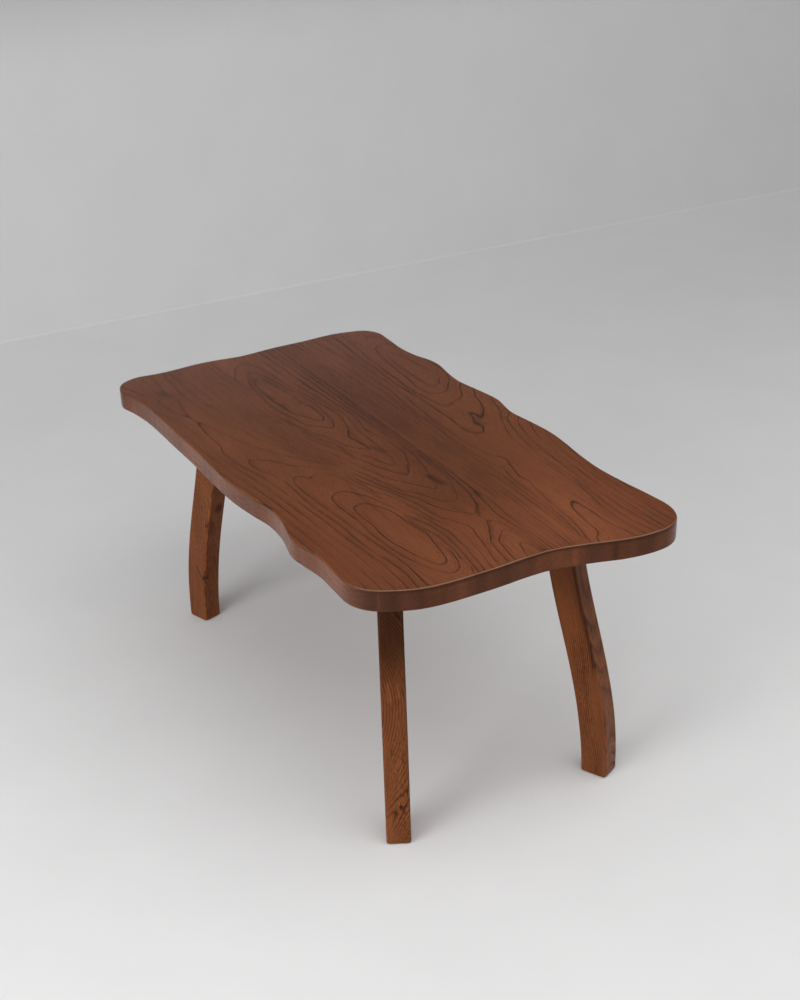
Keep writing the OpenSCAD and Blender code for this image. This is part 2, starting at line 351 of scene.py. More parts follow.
class GrainField:
    """Ring number over a board's face: a thin plate bent through all its growth lines.

    The height at a point is a plane plus a sum of r squared times log r over the lines' points, with
    weights solved so that the plate passes each line at its ring number. Distance along the grain
    counts for less than distance across it.
    """

    kernel_scale: float = 0.005
    tiny: float = 1e-9
    blur: float = 2.0
    slice_rows: int = 3000

    def __init__(self, lines: tuple[GrowthLine, ...], stretch: float = 2.5, give: float = 0.4) -> None:
        """Solves the plate.

        Args:
            lines: The board's growth lines.
            stretch: How many times longer the figure is along the grain than across it.
            give: How far the plate may miss a point, as a share of the kernel.
        """
        self.stretch = stretch
        runs = [self._dense(np.array(line.points, float)) for line in lines]
        self.knots = np.concatenate(runs) / [stretch, 1.0]
        rings = np.concatenate([np.full(len(run), line.ring) for run, line in zip(runs, lines)])
        self.dark = np.concatenate([np.full(len(run), line.dark) for run, line in zip(runs, lines)])
        count = len(self.knots)
        plane = np.c_[np.ones(count), self.knots]
        system = np.block([
            [self._kernel(self.knots) + give * np.eye(count), plane],
            [plane.T, np.zeros((3, 3))],
        ])
        self.weights = np.linalg.solve(system, np.r_[rings, 0.0, 0.0, 0.0])

    @staticmethod
    def _dense(run: np.ndarray, step: float = 16.0, squeeze: float = 2.0) -> np.ndarray:
        """Adds even points to each stretch longer than the step, its way along the grain squeezed."""
        if len(run) == 1:
            return run
        parts = []
        for start, end in zip(run[:-1], run[1:]):
            span = math.hypot((end[0] - start[0]) / squeeze, end[1] - start[1])
            shares = np.linspace(0.0, 1.0, max(1, math.ceil(span / step)), endpoint=False)
            parts.append(start + (end - start) * shares[:, None])
        return np.concatenate([*parts, run[-1:]])

    def _kernel(self, places: np.ndarray) -> np.ndarray:
        """r squared times log r from each place to each knot, scaled down to keep the system even."""
        squared = ((places[:, None, :] - self.knots[None, :, :]) ** 2).sum(-1)
        return self.kernel_scale * squared * np.log(squared + self.tiny)

    def rings(self, places: np.ndarray) -> np.ndarray:
        """Ring numbers at places in millimetres, worked out in slices to spare memory."""
        scaled = places / [self.stretch, 1.0]
        parts = []
        for part in np.array_split(scaled, self._slices(scaled)):
            basis = np.hstack([self._kernel(part), np.ones((len(part), 1)), part])
            parts.append(basis @ self.weights)
        return np.concatenate(parts)

    def _slices(self, places: np.ndarray) -> int:
        """How many slices keep each one small."""
        return max(1, len(places) // self.slice_rows)

    def slopes(self, places: np.ndarray, step: float = 1.5) -> np.ndarray:
        """Rings per millimetre at places, from the difference over a step to each side."""
        along = self.rings(places + [step, 0.0]) - self.rings(places - [step, 0.0])
        across = self.rings(places + [0.0, step]) - self.rings(places - [0.0, step])
        return np.hypot(along, across) / (2.0 * step)

    def darkness(self, places: np.ndarray) -> np.ndarray:
        """Darkness of the nearest lines at places, each weighed by the inverse cube of its distance."""
        parts = []
        for part in np.array_split(places / [self.stretch, 1.0], self._slices(places)):
            squared = ((part[:, None, :] - self.knots[None, :, :]) ** 2).sum(-1) + self.blur**2
            weight = squared ** -1.5
            parts.append((weight @ self.dark) / weight.sum(1))
        return np.concatenate(parts)


@dataclass(frozen=True)
class Stroke:
    """A soft-edged streak of lighter or darker wood.

    Fields: where it starts and ends in millimetres, its half width, and its share, which is above
    zero where it lightens the wood.
    """

    start: tuple[float, ...]
    end: tuple[float, ...]
    width: float
    share: float

    def at(self, places: np.ndarray) -> np.ndarray:
        """The share times e to the minus square of the distance from the streak over its half width."""
        start, run = np.array(self.start), np.subtract(self.end, self.start)
        off = places - start
        way = np.clip(off @ run / (run @ run), 0.0, 1.0)
        distance = np.linalg.norm(off - way[:, None] * run, axis=1)
        return self.share * np.exp(-(distance / self.width) ** 2)


def tone_at(places: np.ndarray, strokes: tuple[Stroke, ...]) -> np.ndarray:
    """One plus all the strokes' shares, held between the least and the most tone."""
    return np.clip(1.0 + sum(stroke.at(places) for stroke in strokes), TONE_LEAST, TONE_MOST)


# Smudges and clouds in the wood of the three boards
TOP_STROKES = (
    Stroke((161, 18), (197, 22), 6.0, -0.42),
    Stroke((339, 17), (390, -9), 3.1, -0.35),
    Stroke((104, 15), (140, -11), 2.9, -0.22),
    Stroke((283, 32), (321, 12), 3.0, -0.45),
    Stroke((246, 51), (261, 49), 3.9, -0.4),
    Stroke((-274, -60), (-257, -58), 4.1, -0.35),
    Stroke((-225, -59), (-204, -59), 3.5, -0.4),
    Stroke((-374, -48), (-338, -55), 5.1, -0.25),
    Stroke((-62, -10), (2, -13), 3.4, -0.28),
    Stroke((-17, -51), (40, -51), 3.9, -0.3),
    Stroke((-42, 237), (6, 214), 3.5, -0.16),
    Stroke((13, 194), (35, 196), 5.8, -0.2),
    Stroke((35, 157), (61, 168), 6.0, -0.2),
    Stroke((18, -6), (45, 1), 5.8, -0.3),
    Stroke((-296, -170), (-281, -163), 5.2, -0.3),
    Stroke((-391, -217), (-372, -213), 7.2, -0.4),
    Stroke((380, 160), (450, 140), 110.0, 0.3),
    Stroke((430, -10), (450, -60), 60.0, 0.12),
    Stroke((400, 10), (440, -40), 95.0, 0.2),
    Stroke((60, 228), (260, 215), 38.0, 0.19),
    Stroke((70, -84), (250, -84), 24.0, 0.2),
    Stroke((-290, -195), (-140, -205), 48.0, 0.15),
    Stroke((-260, 90), (-40, 80), 62.0, -0.17),
    Stroke((-340, -40), (-220, -45), 34.0, -0.12),
    Stroke((60, 20), (260, 10), 40.0, -0.19),
    Stroke((402, -18), (452, -18), 40.0, -0.08),
    Stroke((120, 120), (320, 110), 42.0, -0.08),
)

# Where the growth lines show more or less
FIGURE_STROKES = (
    Stroke((-330, 0), (-80, -20), 90.0, 0.95),
    Stroke((-330, 190), (-60, 190), 60.0, 0.65),
    Stroke((330, -180), (380, 80), 110.0, -0.4),
    Stroke((-70, 222), (10, 200), 26.0, -0.42),
    Stroke((60, 228), (150, 215), 26.0, -0.25),
    Stroke((140, -218), (330, -214), 42.0, -0.25),
)

# Lighter and darker stretches of the rim; along the front rim the lighter stretches are also painted
# reflection of its glossy flats
RIM_STROKES = (
    Stroke((430, -230), (452, -200), 13.0, -0.26),
    Stroke((470, -136), (470, -110), 14.0, 0.38),
    Stroke((469, -44), (466, -20), 13.0, -0.18),
    Stroke((465, 28), (466, 50), 15.0, 0.5),
    Stroke((480, 104), (485, 124), 13.0, -0.26),
    Stroke((497, 170), (500, 190), 12.0, -0.1),
    Stroke((498, 214), (490, 244), 12.0, 0.6),
    Stroke((440, -222), (441, -219), 1.0, 0.55),
    Stroke((472, 79), (473, 80), 3.0, 0.3),
    Stroke((469, -63), (469, -58), 5.0, 0.25),
    Stroke((489, 137), (489, 139), 3.0, -0.3),
    Stroke((-484, -240), (-440, -272), 20.0, -0.4),
    Stroke((-340, -258), (-320, -258), 18.0, -0.1),
    Stroke((-250, -258), (-240, -258), 12.0, 0.1),
    Stroke((-164, -257), (-118, -256), 16.0, 0.24),
    Stroke((-44, -257), (-20, -257), 11.0, 0.2),
    Stroke((70, -262), (112, -256), 15.0, -0.24),
    Stroke((170, -243), (226, -252), 14.0, 0.14),
    Stroke((312, -248), (322, -248), 7.0, 0.1),
    Stroke((350, -246), (366, -247), 10.0, 0.24),
    Stroke((408, -244), (432, -230), 12.0, -0.2),
)


@dataclass(frozen=True)
class TopOutline:
    """Free-form outline of the top, through points on its own sheet, anticlockwise from the right end."""

    length: float = 996.0
    width: float = 547.0
    steps: int = 24
    points: Points = (
        (478, -130), (477, -60), (473, 0), (475, 45), (488, 98), (501, 142), (506, 182), (502, 219),
        (483, 246), (449, 260), (404, 258), (349, 252), (284, 248), (227, 252), (169, 259), (126, 262),
        (80, 259), (30, 254), (0, 257), (-35, 263), (-75, 260), (-115, 254), (-150, 250), (-189, 254),
        (-234, 261), (-267, 258), (-304, 248), (-349, 243), (-399, 246), (-444, 247), (-473, 230),
        (-484, 199), (-489, 162), (-485, 110), (-483, 40), (-477, -20), (-477, -45), (-482, -90),
        (-482, -125), (-477, -164), (-476, -199), (-479, -238), (-463, -271), (-430, -284), (-389, -276),
        (-329, -269), (-229, -268), (-130, -267), (-50, -268), (30, -267), (90, -260), (140, -252),
        (189, -254), (244, -265), (279, -262), (324, -256), (369, -257), (411, -256), (442, -238),
        (463, -203), (474, -171),
    )

    def curve(self) -> np.ndarray:
        """The closed curve, stretched to the top's length and width about the origin.

        Between two points b and c with neighbours a and d it is the cubic that leaves b along c - a and
        reaches c along d - b, both halved.

        Returns:
            Points of the curve in millimetres, one row each.
        """
        b = np.array(self.points, float)[:, None, :]
        a, c, d = np.roll(b, 1, 0), np.roll(b, -1, 0), np.roll(b, -2, 0)
        t = (np.arange(self.steps) / self.steps)[None, :, None]
        cubic = 2 * b + (c - a) * t + (2 * a - 5 * b + 4 * c - d) * t**2 + (3 * b - a - 3 * c + d) * t**3
        run = 0.5 * cubic.reshape(-1, 2)
        low, high = run.min(0), run.max(0)
        return (run - (low + high) / 2.0) * np.array([self.length, self.width]) / (high - low)


@dataclass(frozen=True)
class Arc:
    """A stretch of a board's edge: its points, its inward directions and its place along the outline."""

    points: np.ndarray
    inward: np.ndarray
    along: np.ndarray


class OutlineWalk:
    """Walks the outline and cuts it into arcs at even steps."""

    def __init__(self, outline: TopOutline) -> None:
        """Lays the curve three times end to end, so that an arc may pass the start.

        Args:
            outline: The outline to walk.
        """
        curve = outline.curve()
        self.count = len(curve)
        tangent = np.roll(curve, -1, 0) - np.roll(curve, 1, 0)
        tangent /= np.linalg.norm(tangent, axis=1)[:, None]
        inward = np.c_[-tangent[:, 1], tangent[:, 0]]
        self.curve = np.tile(curve, (3, 1))
        self.inward = np.tile(inward, (3, 1))
        lengths = np.linalg.norm(np.diff(self.curve, axis=0), axis=1)
        self.along = np.r_[0.0, np.cumsum(lengths)]
        self.round = self.along[self.count]

    def crossing(self, height: float, right: bool) -> float:
        """Place along the outline where it crosses a line along the grain.

        Args:
            height: The line's place across the grain.
            right: True for the crossing at the right end.

        Returns:
            The distance along the outline, in its middle lap.
        """
        y = self.curve[self.count:2 * self.count + 1, 1] - height
        x = self.curve[self.count:2 * self.count, 0]
        hit = np.flatnonzero((y[:-1] * y[1:] <= 0) & ((x > 0) == right))[0]
        share = y[hit] / (y[hit] - y[hit + 1])
        start = self.along[self.count + hit]
        return float(start + share * (self.along[self.count + hit + 1] - start))

    def corner(self, side_x: int, side_y: int) -> float:
        """Place along the outline that lies furthest out towards one corner, in its middle lap."""
        lap = self.curve[self.count:2 * self.count]
        return float(self.along[self.count + int(np.argmax(lap @ [side_x, side_y]))])

    def arc(self, start: float, end: float, count: int) -> Arc:
        """Arc from start to end, anticlockwise.

        Args:
            start: Where it starts, as a distance along the outline.
            end: Where it ends; a lap is added if it lies before the start.
            count: How many even steps it has.

        Returns:
            The arc, with count + 1 points.
        """
        if end < start:
            end += self.round
        if end > self.along[-1]:
            start, end = start - self.round, end - self.round
        along = np.linspace(start, end, count + 1)
        inward = self._between(along, self.inward)
        inward /= np.linalg.norm(inward, axis=1)[:, None]
        return Arc(self._between(along, self.curve), inward, np.mod(along, self.round))

    def _between(self, along: np.ndarray, pairs: np.ndarray) -> np.ndarray:
        """Pairs of numbers at places along the outline, evenly between those stored at its points."""
        return np.c_[np.interp(along, self.along, pairs[:, 0]), np.interp(along, self.along, pairs[:, 1])]


def seam_arc(start: Arc, end: Arc, count: int) -> Arc:
    """Straight glue line from the end of one arc to the start of the next.

    A point of the line only slides along it: its inward direction runs evenly from that of the
    rounded rim at one end to that at the other, each long enough to keep pace with the rim.

    Args:
        start: The arc that ends where the glue line starts.
        end: The arc that starts where the glue line ends.
        count: How many even steps the line has.

    Returns:
        The glue line as an arc.
    """
    share = np.linspace(0.0, 1.0, count + 1)[:, None]
    points = start.points[-1] * (1 - share) + end.points[0] * share
    slide = 1.0 / start.inward[-1, 0] * (1 - share) + 1.0 / end.inward[0, 0] * share
    along = start.along[-1] * (1 - share) + end.along[0] * share
    return Arc(points, np.hstack([slide, np.zeros_like(slide)]), along[:, 0])


def triangle_wave(place: np.ndarray) -> np.ndarray:
    """Zigzag between 0 and 1 that starts at 0 and has a period of one."""
    return np.abs(2.0 * np.mod(place + 0.5, 1.0) - 1.0)


def make_mesh(name: str, vertices: np.ndarray, faces: list, sharp_from: float = 35.0) -> bpy.types.Object:
    """Makes a smooth-shaded object whose edges are sharp where its faces meet at a wide angle.

    Args:
        name: The piece's name.
        vertices: Places in millimetres, one row each.
        faces: Rows of vertex numbers, anticlockwise seen from outside.
        sharp_from: The least angle in degrees at which an edge stays sharp.

    Returns:
        The object, linked into the scene.
    """
    mesh = bpy.data.meshes.new(name)
    mesh.from_pydata((vertices * MM).tolist(), [], faces)
    mesh.polygons.foreach_set("use_smooth", np.ones(len(mesh.polygons), bool))
    mesh.set_sharp_from_angle(angle=math.radians(sharp_from))
    mesh.update()
    piece = bpy.data.objects.new(name, mesh)
    bpy.context.scene.collection.objects.link(piece)
    return piece


def set_attribute(piece: bpy.types.Object, name: str, values: np.ndarray) -> None:
    """Stores one number or one vector for each vertex, for the finish to read."""
    kind, field = ("FLOAT", "value") if values.ndim == 1 else ("FLOAT_VECTOR", "vector")
    layer = piece.data.attributes.new(name, kind, "POINT")
    layer.data.foreach_set(field, values.astype(np.float32).ravel())


def grid_faces(rows: int, columns: int, closed: bool = False) -> np.ndarray:
    """Quads between neighbouring rows of a grid that is numbered row by row.

    Args:
        rows: How many rows of vertices there are.
        columns: How many vertices a row has.
        closed: True if the last column meets the first.

    Returns:
        One row of four vertex numbers for each quad.
    """
    r = np.arange(rows - 1)[:, None] * columns
    c = np.arange(columns if closed else columns - 1)[None, :]
    following = (c + 1) % columns
    quads = np.stack([r + c, r + following, r + columns + following, r + columns + c], -1)
    return quads.reshape(-1, 4)


@dataclass(frozen=True)
class RimProfile:
    """Section of the top's rim: a small rounding above and below, and a side with slight flats.

    A swell and the second row of flats are given as a share, a length along the rim and a start.
    """

    upper_round: float = 2.8
    lower_round: float = 2.0
    round_steps: int = 6
    side_drops: tuple[float, ...] = (1.1, 2.6, 6.0, 11.0, 16.0, 21.0, 25.0)
    flat: float = 0.7
    facet_depth: float = 0.22
    facet_length: float = 23.0
    second_facets: tuple[float, float, float] = (0.6, 37.0, 0.3)
    long_swell: tuple[float, float, float] = (0.12, 41.0, 0.0)
    short_swell: tuple[float, float, float] = (0.08, 17.0, 1.0)
    under_line: tuple[float, float] = (-1.0, -0.35)

    def rings(self, along: np.ndarray, on_rim: np.ndarray) -> tuple[np.ndarray, np.ndarray]:
        """Inset and height of each ring of the rim, from the top face down to the underside.

        The upper quarter circle has its centre one radius in and one radius down, the lower one
        likewise, and the side between them is let in by a zigzag along the outline, so that it shows
        the flats of a spokeshave. The radius swells and shrinks a little along the outline.

        Args:
            along: Place along the outline of each vertex of a ring.
            on_rim: One where a vertex is on the rim, and zero on a glue line.

        Returns:
            The insets and the heights, one row for each ring and one column for each vertex.
        """
        swell = 1.0 + self._swell(along, *self.long_swell) + self._swell(along, *self.short_swell)
        upper = self.upper_round * swell
        turn = np.linspace(0.0, math.pi / 2, self.round_steps + 1)[:, None]
        upper_inset, upper_drop = upper * (1 - np.sin(turn)), upper * (1 - np.cos(turn))
        lower_inset = self.lower_round * (1 - np.sin(turn[::-1])) + 0 * along
        lower_rise = self.lower_round * (1 - np.cos(turn[::-1])) + 0 * along
        side_drop = upper + np.array(self.side_drops)[:, None]
        share, length, start = self.second_facets
        zigzag = triangle_wave(along / self.facet_length) + share * triangle_wave(along / length + start)
        facet = self.facet_depth * zigzag * on_rim
        facets = np.vstack([
            facet * np.sin(turn) ** 2,
            np.repeat(facet[None, :], len(side_drop), 0),
            facet * np.sin(turn[::-1]) ** 2,
        ])
        inset = np.vstack([upper_inset, 0 * side_drop, lower_inset]) + facets
        drop = np.vstack([upper_drop, side_drop, TOP_THICK - lower_rise])
        first, last = inset[:1] + self.flat, inset[-1:] + self.flat
        return np.vstack([first, inset, last]), TABLE_HEIGHT - np.vstack([drop[:1], drop, drop[-1:]])

    @staticmethod
    def _swell(along: np.ndarray, share: float, length: float, start: float) -> np.ndarray:
        """A share of the sine of the place along the rim over a length."""
        return share * np.sin(along / length + start)

    def arris(self, on_rim: np.ndarray) -> np.ndarray:
        """Wear and painted highlight of each ring: three quarters of a sine wave over the upper rounding,
        fading just under it.

        Args:
            on_rim: One where a vertex is on the rim, and zero on a glue line.

        Returns:
            Shares from -1 to 1, a row for each ring.
        """
        wave = np.zeros(2 * self.round_steps + len(self.side_drops) + 4)
        wave[1:self.round_steps + 2] = np.sin(np.linspace(0.0, 1.5 * math.pi, self.round_steps + 1))
        wave[self.round_steps + 2:self.round_steps + 4] = self.under_line
        return wave[:, None] * on_rim


class BoardPlace(Enum):
    """Which of the three boards a board is, with its node's name."""

    FRONT = "board_front"
    MIDDLE = "board_middle"
    BACK = "board_back"


@dataclass(frozen=True)
class Board:
    """One board of the top, between the outline and its glue lines.

    Over the first and last rim_blend millimetres of its thickness the look of the face passes into
    that of the rim, where the growth lines are calmer and the wood is a little lighter.
    """

    place: BoardPlace
    lines: tuple[GrowthLine, ...]
    strokes: tuple[Stroke, ...] = TOP_STROKES
    rim_strokes: tuple[Stroke, ...] = RIM_STROKES
    figure_strokes: tuple[Stroke, ...] = FIGURE_STROKES
    long_steps: int = 290
    cross_steps: int = 62
    ring_depth: float = 9.0
    # Painted shade: arrises whose outer side faces away from the camera, the direction given next, are
    # darkened by the far shade.
    camera_side: tuple[float, float] = (0.9, -0.45)
    far_shade: float = 0.35
    rim_blend: float = 3.0
    rim_calm: float = 0.8
    rim_light: float = 1.15
    end_power: float = 1.5
    profile: RimProfile = RimProfile()

    def edges(self, walk: OutlineWalk) -> tuple[Arc, Arc, Arc, Arc, np.ndarray]:
        """The board's four sides, anticlockwise from the front, and where they are glued.

        Args:
            walk: The outline's walk.

        Returns:
            The front, right, back and left sides, and a flag for each that is one on a rim.
        """
        n, m = self.long_steps, self.cross_steps
        if self.place is BoardPlace.MIDDLE:
            right = walk.arc(walk.crossing(FRONT_SEAM, True), walk.crossing(BACK_SEAM, True), m)
            left = walk.arc(walk.crossing(BACK_SEAM, False), walk.crossing(FRONT_SEAM, False), m)
            return seam_arc(left, right, n), right, seam_arc(right, left, n), left, np.array([0, 1, 0, 1])
        if self.place is BoardPlace.BACK:
            corner_right, corner_left = walk.corner(1, 1), walk.corner(-1, 1)
            right = walk.arc(walk.crossing(BACK_SEAM, True), corner_right, m)
            back = walk.arc(corner_right, corner_left, n)
            left = walk.arc(corner_left, walk.crossing(BACK_SEAM, False), m)
            return seam_arc(left, right, n), right, back, left, np.array([0, 1, 1, 1])
        corner_left, corner_right = walk.corner(-1, -1), walk.corner(1, -1)
        left = walk.arc(walk.crossing(FRONT_SEAM, False), corner_left, m)
        front = walk.arc(corner_left, corner_right, n)
        right = walk.arc(corner_right, walk.crossing(FRONT_SEAM, True), m)
        return front, right, seam_arc(right, left, n), left, np.array([1, 1, 0, 1])

    def build(self, walk: OutlineWalk) -> bpy.types.Object:
        """Builds the board: a face spanned between its four sides, the rim's rings, and the underside.

        The face blends each side with the side opposite and takes away the blend of the four corners.
        The rings shift each point of the loop inwards by the rim's profile.

        Args:
            walk: The outline's walk.

        Returns:
            The board's piece, with the figure of its grain stored at its vertices.
        """
        sides = self.edges(walk)
        flags, sides = sides[4], sides[:4]
        loop = np.concatenate([side.points[:-1] for side in sides])
        inward = np.concatenate([side.inward[:-1] for side in sides])
        along = np.concatenate([side.along[:-1] for side in sides])
        on_rim = np.concatenate([
            np.r_[max(flag, before), np.full(len(side.points) - 2, flag)].astype(float)
            for side, flag, before in zip(sides, flags, np.roll(flags, 1))
        ])
        insets, heights = self.profile.rings(along, on_rim)
        rings = loop[None] + inward[None] * insets[:, :, None]
        n, m = self.long_steps, self.cross_steps
        face_loop = self._loop_numbers(n, m)
        face_count = (n + 1) * (m + 1)
        upper, lower = self._span(rings[0], n, m), self._span(rings[-1], n, m)
        middle = np.dstack([rings[1:-1], heights[1:-1]]).reshape(-1, 3)
        vertices = np.concatenate([
            np.c_[upper, np.full(face_count, TABLE_HEIGHT)],
            middle,
            np.c_[lower, np.full(face_count, UNDERSIDE)],
        ])
        ring_count, loop_count = len(rings), len(loop)
        numbers = np.vstack([
            face_loop[None],
            face_count + np.arange((ring_count - 2) * loop_count).reshape(-1, loop_count),
            (face_count + (ring_count - 2) * loop_count + face_loop)[None],
        ])
        wall = numbers.ravel()[grid_faces(ring_count, loop_count, closed=True)][:, ::-1]
        top = grid_faces(m + 1, n + 1)
        bottom = top[:, ::-1] + face_count + (ring_count - 2) * loop_count
        piece = make_mesh(f"{self.place.value}_finished", vertices, np.vstack([top, wall, bottom]).tolist())
        plain = np.zeros(face_count)
        # Painted shade on the arrises that face away from the camera, which also lose their lighter wear and
        # painted highlight.
        far = on_rim * np.clip(inward @ self.camera_side, 0.0, 1.0)
        rounding = self.profile.arris(on_rim)[1:-1]
        shade = self.far_shade * np.maximum(rounding, 0.0) * far
        self._store_figure(piece, vertices, np.concatenate([plain, shade.ravel(), plain]))
        # Share of wear and painted highlight on each ring of the upper rounding.
        worn_and_highlight = np.where(rounding > 0.0, rounding * (1.0 - far), rounding)
        set_attribute(piece, "arris", np.concatenate([plain, worn_and_highlight.ravel(), plain]))
        ending = on_rim * np.minimum(np.abs(inward[:, 0]), 1.0) ** self.end_power
        end_grain = np.repeat(ending[None, :], ring_count - 2, 0)
        set_attribute(piece, "end", np.concatenate([plain, end_grain.ravel(), plain]))
        return piece

    @staticmethod
    def _loop_numbers(n: int, m: int) -> np.ndarray:
        """Numbers of a face grid's rim vertices, anticlockwise from its front left corner."""
        number = np.arange((n + 1) * (m + 1)).reshape(m + 1, n + 1)
        return np.concatenate([number[0, :-1], number[:-1, -1], number[-1, :0:-1], number[:0:-1, 0]])

    @staticmethod
    def _span(loop: np.ndarray, n: int, m: int) -> np.ndarray:
        """Face grid between a loop's four sides: blend across plus blend along less the corners' blend."""
        closed = np.vstack([loop, loop[:1]])
        front, right = closed[:n + 1], closed[n:n + m + 1]
        back, left = closed[n + m:2 * n + m + 1][::-1], closed[2 * n + m:][::-1]
        u = np.linspace(0.0, 1.0, n + 1)[None, :, None]
        v = np.linspace(0.0, 1.0, m + 1)[:, None, None]
        across = (1 - v) * front[None] + v * back[None]
        lengthwise = (1 - u) * left[:, None] + u * right[:, None]
        corners = ((1 - u) * (1 - v) * front[0] + u * (1 - v) * front[-1]
                   + (1 - u) * v * back[0] + u * v * back[-1])
        return (across + lengthwise - corners).reshape(-1, 2)

    def _store_figure(self, piece: bpy.types.Object, vertices: np.ndarray, shade: np.ndarray) -> None:
        """Stores ring number, rings per millimetre, darkness and tone: the rings sink evenly with depth.

        Args:
            piece: The board's piece.
            vertices: Its vertices in millimetres.
            shade: Painted shade: how much darker each vertex is, on the arrises that face away from the
                camera.
        """
        field = GrainField(self.lines)
        places = vertices[:, :2]
        depth = TABLE_HEIGHT - vertices[:, 2]
        slope = field.slopes(places)
        below, above = depth / self.rim_blend, (TOP_THICK - depth) / self.rim_blend
        on_side = np.clip(below, 0.0, 1.0) * np.clip(above, 0.0, 1.0)
        side_slope = np.hypot(slope, 1.0 / self.ring_depth)
        set_attribute(piece, "ring", field.rings(places) + depth / self.ring_depth)
        set_attribute(piece, "slope", slope * (1 - on_side) + side_slope * on_side)
        dark = field.darkness(places) * tone_at(places, self.figure_strokes)
        set_attribute(piece, "dark", dark * (1.0 - self.rim_calm * on_side))
        rim_tone = self.rim_light * tone_at(places, self.rim_strokes)
        tone = tone_at(places, self.strokes) * (1.0 + (rim_tone - 1.0) * on_side)
        # The tone also holds the painted shade of the far arrises.
        set_attribute(piece, "tone", tone * (1.0 - shade))


@dataclass(frozen=True)
class Knot:
    """A knot in a leg: its height, its place in the section, its size and its push on the rings.

    It is stretched along the grain, pushes the rings aside over its reach in radii, and is dark up to
    its edge in radii.
    """

    height: float
    depth: float
    thick: float
    radius: float
    push: float
    stretch: float = 1.3
    reach: float = 2.2
    edge: float = 1.5

    def distance(self, length: np.ndarray, depth: np.ndarray, thick: np.ndarray) -> np.ndarray:
        """Distance from the knot, with that along the grain divided by its stretch."""
        return np.sqrt(((length - self.height) / self.stretch) ** 2 + (depth - self.depth) ** 2
                       + (thick - self.thick) ** 2)


class LegPlace(Enum):
    """Where a leg stands: sides along and across the grain, its foot's middle and its turn in degrees."""

    FRONT_LEFT = ("front_left", -1, -1, -410.0, -165.5, 19.5)
    FRONT_RIGHT = ("front_right", 1, -1, 371.0, -165.5, 26.5)
    BACK_LEFT = ("back_left", -1, 1, -410.0, 194.5, 19.5)
    BACK_RIGHT = ("back_right", 1, 1, 388.0, 194.5, 26.5)


def ease(share: np.ndarray) -> np.ndarray:
    """Smooth step from 0 to 1 that starts and ends level."""
    return share * share * (3.0 - 2.0 * share)


